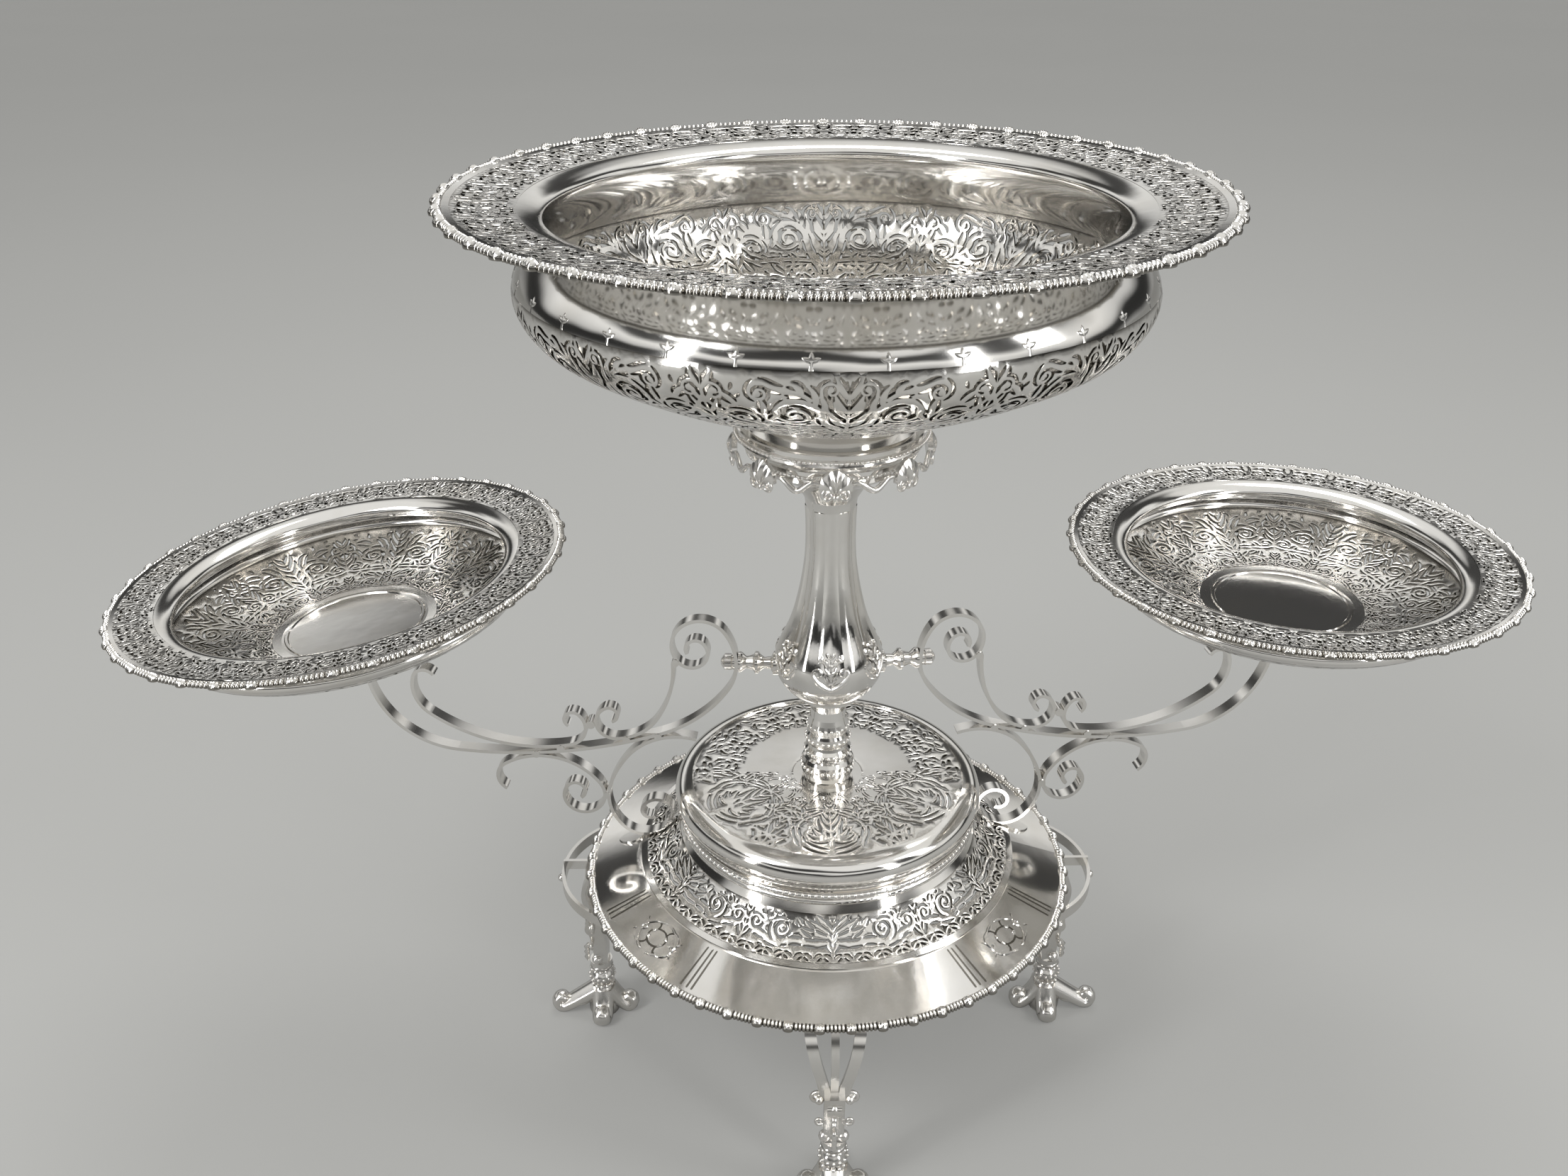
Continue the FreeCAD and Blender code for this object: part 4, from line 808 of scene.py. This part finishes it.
def bowl(name, body, outline, sizes, sectors, ornament, matrix, node, foot_r):
    """A bowl with pierced rim and wall. Sizes are the radii where the rim's and the wall's piercing begin
    and end, and the wall's highest level; sectors are how many repeats go round the rim and the wall."""
    rim_out, rim_in, wall_out, wall_in, belly_z = sizes
    flange = run_of(outline, lambda p: p[0] < rim_out, lambda p: p[0] < rim_in) + np.array([0, SHEET])
    rim = Surface(flange[::-1], 0.5 * (rim_out + rim_in), 1)
    slits = rim_slits(2 * math.pi * rim.reference / sectors[0], rim.height)
    v, f, s = cut_sheet(rim, Drawing(), sectors[0], azimuths(sectors[0]), SHEET, 0.14, 0.24, slits)
    parts = [(moved(v, matrix), f, s, PIERCED)]
    wall_run = run_of(outline, lambda p: p[1] < belly_z and p[0] < wall_out, lambda p: p[0] < wall_in)
    reference = 0.5 * (wall_out + wall_in) + 0.1 * wall_out
    wall = Surface(wall_run[::-1], reference, -1)
    width = 2 * math.pi * reference / sectors[1]
    drawing = Drawing()
    size = np.array([width / 78.54, wall.height / 98.0])
    for points, widths in ornament().strokes:
        drawing.add(points * size, widths * size.min())
    v, f, s = cut_sheet(wall, drawing, sectors[1], azimuths(sectors[1]), SHEET, 0.12, 0.3,
                        drawing.slits(width, wall.height), 0.05)
    parts.append((moved(v, matrix), f, s, PIERCED))
    edge = run_of(outline, lambda p: True, lambda p: p[0] < rim_out)
    neck = run_of(outline, lambda p: p[0] < rim_in + 0.1, lambda p: p[1] < belly_z and p[0] < wall_out)
    floor = run_of(outline, lambda p: p[1] < belly_z and p[0] < wall_in + 0.2,
                   lambda p: p[0] <= foot_r + 0.01)
    z = outline[-1][1]
    for plain in (band(edge, SHEET), band(neck, SHEET), band(floor, SHEET),
                  revolve([(foot_r + 0.1, z), (foot_r + 0.1, z + SHEET), (0.01, z + SHEET), (0.01, z)], 128),
                  revolve([(foot_r - 1.0, z + SHEET - 0.2), (foot_r - 1.6, z + SHEET + 0.5),
                           (foot_r - 2.6, z + SHEET + 0.5), (foot_r - 3.2, z + SHEET - 0.2)], 128)):
        parts.append((moved(plain[0], matrix), plain[1], None, POLISHED))
    make(name, body, parts, node)


bowl("central_bowl_sheet", "central_bowl_body", CENTRAL, (136.8, 114.5, 117.9, 52.0, 363.4), (30, 8),
     wall_ornament, Matrix.Identity(4), "central_bowl", 40.0)
v, f, s = shell_rim(139.0, 4.4, 390.7, 3.6, CENTRAL_SHELLS)
make("central_bowl_shell_border", "central_bowl_body", [(v, f, s, BORDER)], "central_border", 50)

# finials above the pierced band, and a fine row of dashes under the neck
above = Surface(run_of(CENTRAL, lambda p: p[1] < 372.0, lambda p: p[1] < 364.0)[::-1], 117.0, -1)
v, f, s = cut_sheet(above, trefoil(), FINIALS, azimuths(FINIALS, -84.4), LET_IN, 0.22, 0.22)
dashes = Drawing()
dashes.add([(0, 0.9), (0.6, 2.3)], [0.9, 0.9])
under = Surface(run_of(CENTRAL, lambda p: p[1] < 379.0, lambda p: p[1] < 375.0)[::-1], 110.0, -1)
v2, f2, s2 = cut_sheet(under, dashes, DASHES, azimuths(DASHES), LET_IN, 0.2, 0.2, height=3.4)
make("central_bowl_chasing", "central_bowl_body", [(v, f, s, CAST), (v2, f2, s2, CAST)])

# Side bowls
SIDE = spline([(92.2, -1.2), (80.1, -2.81), (71.4, -3.8), (69.6, -5.6), (73.0, -9.2), (77.0, -13.0),
               (71.0, -19.5), (58.0, -24.3), (44.0, -27.3), (31.0, -28.5)])
# azimuth, lean and the middle of each side bowl's mouth
SIDES = {"right": (8.3, 0.0, (200.10, 29.19, 234.08)), "left": (176.0, 6.0, (-205.70, 14.38, 233.87))}
for side, (azimuth, droop, centre) in SIDES.items():
    place = (Matrix.Translation(centre) @ Matrix.Rotation(math.radians(azimuth), 4, "Z")
             @ Matrix.Rotation(math.radians(droop), 4, "Y"))
    bowl(side + "_bowl_sheet", side + "_bowl_body", SIDE, (90.6, 75.5, 75.6, 35.5, -14.4), (28, 8),
         side_ornament, place, side + "_bowl", 31.0)
    v, f, s = shell_rim(92.2, 3.4, -2.0, 2.8, SIDE_SHELLS)
    make(side + "_bowl_shell_border", side + "_bowl_body", [(moved(v, place), f, s, BORDER)],
         side + "_border", 50)

# Base: dome, cove and tray
DOME = spline([(14.0, 137.8), (30.0, 138.1), (46.0, 138.1), (56.0, 137.8), (61.0, 137.1), (64.6, 135.4),
               (66.2, 132.2), (65.6, 128.4), (63.3, 124.8), (61.7, 121.6), (61.7, 119.6)])
top_run = run_of(DOME, lambda p: p[0] > 15.0, lambda p: p[0] > 59.6)
top = Surface(top_run[::-1], 40.0, -1)
top_width = 2 * math.pi * top.reference / PALMETTES
palmette = palmette_ornament(top_width, top.height)
v, f, s = cut_sheet(top, palmette, PALMETTES, (-150, -90, -30), SHEET, 0.12, 0.26,
                    palmette.slits(top_width, top.height, 0.9, 1.1, 9.0, 0), spread=3.0)
rear_parts = cut_sheet(top, Drawing(), 2 * PALMETTES, [15.0 + 30.0 * k for k in range(6)], SHEET, 0.12, 0.26,
                       rim_slits(top_width / 2, 18.0), spread=3.0)
shoulder = run_of(DOME, lambda p: p[0] > 59.4, lambda p: p[1] <= 119.61)[::-1]
middle = revolve([(2.56, 136.6), (15.2, 136.65), (15.2, 137.85), (2.56, 137.8)], 96)
plain = band(shoulder[::-1], -SHEET)
make("dome_sheet", "stand", [(v, f, s, CHASED), (*rear_parts, PIERCED), (*middle, None, POLISHED),
                             (*plain, None, POLISHED)], "dome")

COVE = spline([(84.0, 100.4), (80.0, 101.4), (75.0, 103.4), (70.0, 107.8), (63.7, 116.6)])
cove = Surface(run_of(COVE, lambda p: p[0] < 81.6, lambda p: p[0] < 66.0), 74.0, -1)
cove_width = 2 * math.pi * cove.reference / SPRAYS
sprays = cove_ornament(cove_width, cove.height)
v, f, s = cut_sheet(cove, sprays, SPRAYS, azimuths(SPRAYS), SHEET, 0.14, 0.26,
                    sprays.slits(cove_width, cove.height, 1.1, 1.0, 6.0, 3.6, 0.6))
low_lip = band(run_of(COVE, lambda p: True, lambda p: p[0] < 81.5), -SHEET)
high_lip = band(run_of(COVE, lambda p: p[0] < 66.2, lambda p: p[0] <= 63.71), -SHEET)
make("tier_sheet", "stand", [(v, f, s, PIERCED), (*low_lip, None, POLISHED),
                             (*high_lip, None, POLISHED)], "tier")

v, f, s = shell_rim(105.6, 4.0, 89.7, 3.8, TRAY_SHELLS)
make("tray_shell_border", "stand", [(v, f, s, BORDER)], "tray_border", 50)
slope = Surface([(104.6, 92.34), (84.8, 98.93)], 95.0, -1)
v, f, s = cut_sheet(slope, panel_ornament(2 * math.pi * slope.reference / PANELS, slope.height), PANELS,
                    (-141, -39), LET_IN, 0.55, 0.25)
make("tray_chasing", "stand", [(v, f, s, BORDER)])

# Rows of beads on the base and stem
rows = [bead_row(64.6, 121.4, 0.95, 150), bead_row(11.3, 144.0, 0.9, 28), bead_row(9.9, 151.5, 0.8, 24),
        bead_row(9.6, 158.0, 0.75, 24), bead_row(9.0, 164.4, 0.75, 22), bead_row(38.0, 300.8, 0.8, 120),
        bead_row(33.4, 292.6, 0.7, 110)]
v, f = joined(rows)
make("stand_beads", "stand", [(v, f, None, CAST)], smooth=60)


def bulb_leaf():
    """An upright leaf in two curled stems that sits on each side of the bulb."""
    d = Drawing()
    d.scroll((0.0, 1.0), 20, (5.4, 8.2), 2.3, 330, 1.3, 1, 1.5, 0.9, 1.1)
    d.scroll((2.0, 12.0), 60, (4.6, 15.2), 1.6, 250, 1.1, 1, 1.1, 0.7, 0.8)
    d.mirror()
    d.frond((0, 2.0), 90, 15, 1.8, 0, 4)
    return d


bulb = Surface([(22.62, 193.0), (22.75, 197.0), (22.6, 200.4), (21.8, 203.2), (20.4, 206.6), (18.6, 210.2),
                (16.6, 214.4)], 22.0, -1)
v, f, s = cut_sheet(bulb, bulb_leaf(), BULB_LEAVES, azimuths(BULB_LEAVES), 1.1, 0.45, 0.2)
make("bulb_leaves", "stand", [(v, f, s, CAST)])


# Cast shells on the collar
def drop():
    """A hanging shell with a fan of ribs and two small volutes at its foot."""
    rows, cols = 9, 25
    front = []
    for i in range(rows + 1):
        rho = i / rows
        for k in range(cols + 1):
            a = math.radians(-82 + 164 * k / cols)
            edge = 1 + 0.07 * abs(math.cos(a * 6.3 * 0.5)) * rho
            y = 6.3 * rho * math.sin(a) * edge
            z = -3.6 + 9.2 * rho * math.cos(a) * edge
            puff = 2.0 * math.sin(math.pi * min(1, rho * 0.92 + 0.04)) ** 0.8
            x = 0.6 + puff * (1 + 0.28 * math.cos(a * 6.3)) * math.cos(a * 0.8)
            front.append((x, y, z))
    n = (rows + 1) * (cols + 1)
    back = [(-1.0, y, z) for x, y, z in front]
    faces = []
    for i in range(rows):
        for k in range(cols):
            a, b = i * (cols + 1) + k, i * (cols + 1) + k + 1
            c, d = b + cols + 1, a + cols + 1
            faces += [(a, b, c, d), (a + n, d + n, c + n, b + n)]
    loop = [rows * (cols + 1) + k for k in range(cols + 1)]
    loop += [i * (cols + 1) + cols for i in range(rows - 1, -1, -1)]
    loop += [i * (cols + 1) for i in range(1, rows)]
    for k in range(len(loop)):
        a, b = loop[k], loop[(k + 1) % len(loop)]
        faces.append((b, a, a + n, b + n))
    parts = [(np.array(front + back), faces), ball((0.9, 0, -4.6), 1.5)]
    for sign in (1, -1):
        parts.append(coil((0.8, sign * 3.0, -4.0), 2.4, 1.3, 90, -sign, 0.85))
    return joined(parts)


def link():
    """A small double scroll between two shells, lying on the collar's edge."""
    path, radii = [], []
    for k in range(21):
        t = k / 20
        a = math.radians(9.5 + 26 * t)
        z = -2.0 - 2.6 * math.sin(math.pi * t) + 1.2 * math.sin(3 * math.pi * t)
        path.append((38.1 * math.cos(a), 38.1 * math.sin(a), 293.0 + z + 2.0))
        radii.append(0.75 + 0.5 * math.sin(math.pi * t))
    return tube(path, radii, 8)


piece = drop()
v, f = around((moved(piece[0], Matrix.Translation((38.2, 0, 292.6))), piece[1]), DROPS, -90)
v2, f2 = around(link(), DROPS, -90)
make("collar_drops", "stand", [(v, f, None, CAST), (v2, f2, None, CAST)], "collar_shells", 50)


# Legs
def leg_parts():
    """Curls and beads on the leg's neck and shank, on the leg that points along X."""
    parts = []
    for sign in (1, -1):
        parts.append(coil((108.6, sign * 7.0, 55.6), 3.4, 1.4, 200 if sign > 0 else -20, -sign, 1.0))
        parts.append(coil((110.2, sign * 6.0, 44.0), 2.4, 1.2, 160 if sign > 0 else 20, sign, 0.8))
        parts.append(ball((108.4, sign * 3.9, 33.6), 2.5))
    for k, size in enumerate((1.9, 1.6, 1.4, 1.2)):
        parts.append(ball((111.6 - 0.5 * k, 0, 52.0 - 3.6 * k), size))
    for k in range(3):
        path = [(112.4 + 0.3 * k, 0, 40.0 - 3.0 * k), (113.6, 0, 38.0 - 3.0 * k), (113.2, 0, 36.0 - 3.0 * k)]
        parts.append(tube(path, [0.8, 1.3, 0.7], 8))
    return joined(parts)


def foot_parts():
    """A cast foot with a beaded ankle over four toes that curl up at their ends."""
    body = spline([(4.4, 28.8), (5.4, 27.4), (4.2, 25.8), (4.8, 24.2), (5.9, 21.8), (5.2, 19.0), (4.2, 17.2),
                   (5.0, 15.0), (6.6, 11.0), (7.4, 6.0), (7.2, 0.4)], 4)
    parts = [revolve([(0.01, 28.9), *map(tuple, body), (0.01, 0.4)], 28, closed=False),
             bead_row(5.0, 26.0, 0.95, 12), bead_row(4.9, 17.0, 0.95, 12), bead_row(5.9, 21.8, 0.8, 14)]
    for direction, reach in ((0, 24.0), (90, 14.0), (180, 15.5), (270, 14.0)):
        far = reach - 3.0
        path = spline([(2.5, 13.5), (0.45 * far, 8.6), (0.8 * far, 3.6), (far, 2.4), (reach - 1.5, 4.2),
                       (reach - 2.2, 6.8), (reach - 4.6, 7.2), (reach - 5.4, 5.4), (reach - 4.2, 4.6)], 4)
        n = len(path)
        radii = [4.0 - 1.9 * min(1.0, k / (n - 1) * 1.15) for k in range(n)]
        radii[-1] = 2.4
        v, f = tube([(x, 0, z) for x, z in path], radii, 12)
        v[:, 1] *= 1.45
        v[:, 2] = np.maximum(v[:, 2], 0.0)
        side_v = ball((0.5 * far, 0, 6.2), 3.4, (1.3, 1.5, 0.8))
        for part in ((v, f), side_v):
            parts.append((moved(part[0], Matrix.Rotation(math.radians(direction), 4, "Z")), part[1]))
    v, f = joined(parts)
    return v + np.array([107.0, 0, 0]), f


neck, toes = leg_parts(), foot_parts()
for i in range(4):
    spin = Matrix.Rotation(math.radians(90 * i), 4, "Z")
    make("leg_%d_curls" % (i + 1), "stand", [(moved(neck[0], spin), neck[1], None, CAST)], smooth=60)
    make("leg_%d_cast_foot" % (i + 1), "stand", [(moved(toes[0], spin), toes[1], None, CAST)],
         "leg_%d_foot" % (i + 1), 60)


# Camera, floor and light
def set_camera():
    """The photograph's camera, as found from the ellipses of its rims."""
    cam = bpy.data.objects.new("camera", bpy.data.cameras.new("camera"))
    bpy.context.scene.collection.objects.link(cam)
    spin = Matrix.Rotation(math.radians(-2.5), 3, "Z")
    yaw, pitch, roll = 0.037, 0.481, -0.003
    fwd = Vector((-math.sin(yaw) * math.cos(pitch), math.cos(yaw) * math.cos(pitch), -math.sin(pitch)))
    right = Vector((math.cos(yaw), math.sin(yaw), 0))
    up = right.cross(fwd)
    r2 = right * math.cos(roll) + up * math.sin(roll)
    u2 = -right * math.sin(roll) + up * math.cos(roll)
    turn = spin @ Matrix((r2, u2, -fwd)).transposed()
    place = spin @ Vector((0, -0.5132, 0.4977))
    cam.matrix_world = Matrix.Translation(place) @ turn.to_4x4()
    cam.data.sensor_width = 36.0
    cam.data.lens = 1974.05 / 2212 * 36
    cam.data.clip_start = 0.01
    bpy.context.scene.camera = cam


def set_stage():
    """A plain pale floor; part of what the camera and the silver see of it is its own even tone."""
    size = 9.0
    mesh = bpy.data.meshes.new("floor")
    corners = [(-size, -size, 0), (size, -size, 0), (size, size, 0), (-size, size, 0)]
    mesh.from_pydata(corners, [], [(0, 1, 2, 3)])
    floor = bpy.data.objects.new("floor", mesh)
    bpy.context.scene.collection.objects.link(floor)
    m = bpy.data.materials.new("floor")
    m.use_nodes = True
    tree = m.node_tree
    place = add_node(tree, "TexCoord").outputs["Object"]
    cloud = add_node(tree, "TexNoise", {"Scale": 1.3, "Vector": place}).outputs["Fac"]
    tone = add_node(tree, "Mix", {"A": (0.26, 0.26, 0.252, 1), "B": (0.285, 0.285, 0.276, 1),
                                  "Factor": cloud}, data_type="RGBA")
    shader = tree.nodes["Principled BSDF"]
    shader.inputs["Roughness"].default_value = 0.9
    shader.inputs["Specular IOR Level"].default_value = 0.1
    tree.links.new(tone.outputs["Result"], shader.inputs["Base Color"])
    depth = add_node(tree, "SeparateXYZ", {"Vector": place}).outputs["Y"]
    strength = add_node(tree, "MapRange", {"Value": depth, "From Min": -0.4, "From Max": 2.0,
                                           "To Min": 0.145, "To Max": 0.15})
    glow = add_node(tree, "Emission", {"Strength": strength.outputs["Result"], "Color": (1.0, 1.0, 0.975, 1)})
    dark = add_node(tree, "Emission", {"Strength": 0.0})
    path = add_node(tree, "LightPath")
    share = add_node(tree, "Math", {0: path.outputs["Is Glossy Ray"], 1: 0.40,
                                    2: path.outputs["Is Camera Ray"]}, operation="MULTIPLY_ADD")
    seen = add_node(tree, "MixShader", {"Fac": share.outputs["Value"], 1: dark.outputs["Emission"],
                                        2: glow.outputs["Emission"]})
    total = add_node(tree, "AddShader", {0: shader.outputs["BSDF"], 1: seen.outputs["Shader"]})
    tree.links.new(total.outputs["Shader"], tree.nodes["Material Output"].inputs["Surface"])
    mesh.materials.append(m)


def area(name, place, target, size, energy):
    """A rectangular light that faces its target."""
    data = bpy.data.lights.new(name, "AREA")
    data.shape = "RECTANGLE"
    data.size, data.size_y = size
    data.energy = energy
    obj = bpy.data.objects.new(name, data)
    bpy.context.scene.collection.objects.link(obj)
    obj.location = place
    obj.rotation_euler = (Vector(target) - Vector(place)).to_track_quat("-Z", "Y").to_euler()


def set_light():
    """A dim room with bright and dark bands for the silver, three soft lights and two tall strips."""
    world = bpy.data.worlds.new("room")
    bpy.context.scene.world = world
    world.use_nodes = True
    tree = world.node_tree
    place = add_node(tree, "TexCoord").outputs["Generated"]
    up = add_node(tree, "SeparateXYZ", {"Vector": place}).outputs["Z"]
    lift = add_node(tree, "MapRange", {"Value": up, "From Min": -0.1, "From Max": 1.0}).outputs["Result"]
    wave = add_node(tree, "TexNoise", {"Scale": 1.6, "Detail": 1.0, "Vector": place}).outputs["Fac"]
    shift = add_node(tree, "Math", {0: wave, 1: 0.5, 2: lift}, operation="MULTIPLY_ADD").outputs["Value"]
    ramp = add_node(tree, "ValToRGB", {"Fac": shift})
    stops = ((0.0, 0.30), (0.27, 0.30), (0.36, 0.03), (0.48, 0.02), (0.55, 0.55), (0.68, 0.85), (0.76, 0.05),
             (0.88, 0.04), (0.95, 0.70), (1.0, 0.80))
    ramp.color_ramp.elements[0].position = stops[0][0]
    ramp.color_ramp.elements[1].position = stops[-1][0]
    for position, _ in stops[1:-1]:
        ramp.color_ramp.elements.new(position)
    for element, (_, level) in zip(ramp.color_ramp.elements, stops):
        element.color = (level, level * 0.995, level * 0.97, 1)
    direct = add_node(tree, "LightPath").outputs["Is Camera Ray"]
    mix = add_node(tree, "Mix", {"A": ramp.outputs["Color"], "B": (0.40, 0.405, 0.385, 1), "Factor": direct},
                   data_type="RGBA")
    tree.links.new(mix.outputs["Result"], tree.nodes["Background"].inputs["Color"])
    area("key", (-1.2, -0.9, 1.7), (0, 0, 0.2), (0.7, 0.7), 15)
    area("fill", (1.5, -0.5, 1.3), (0, 0, 0.2), (0.4, 1.2), 9)
    area("strip_left", (-1.0, -0.75, 0.55), (0, 0, 0.22), (0.10, 0.9), 4)
    area("strip_right", (0.85, -0.95, 0.60), (0, 0, 0.22), (0.16, 0.9), 4)
    area("top", (0.2, 0.8, 2.1), (0, 0, 0.25), (1.3, 0.6), 15)


# Pieces that are shown as built
for name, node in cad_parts.items():
    node.data.materials.clear()
    node.data.materials.append(STRAP)
for name in ("dome_ring", "tray", "saucer", "stem", "collar", "central_foot", "spindle"):
    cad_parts[name].data.materials[0] = POLISHED

set_camera()
set_stage()
set_light()
bpy.context.scene.view_settings.view_transform = "Standard"
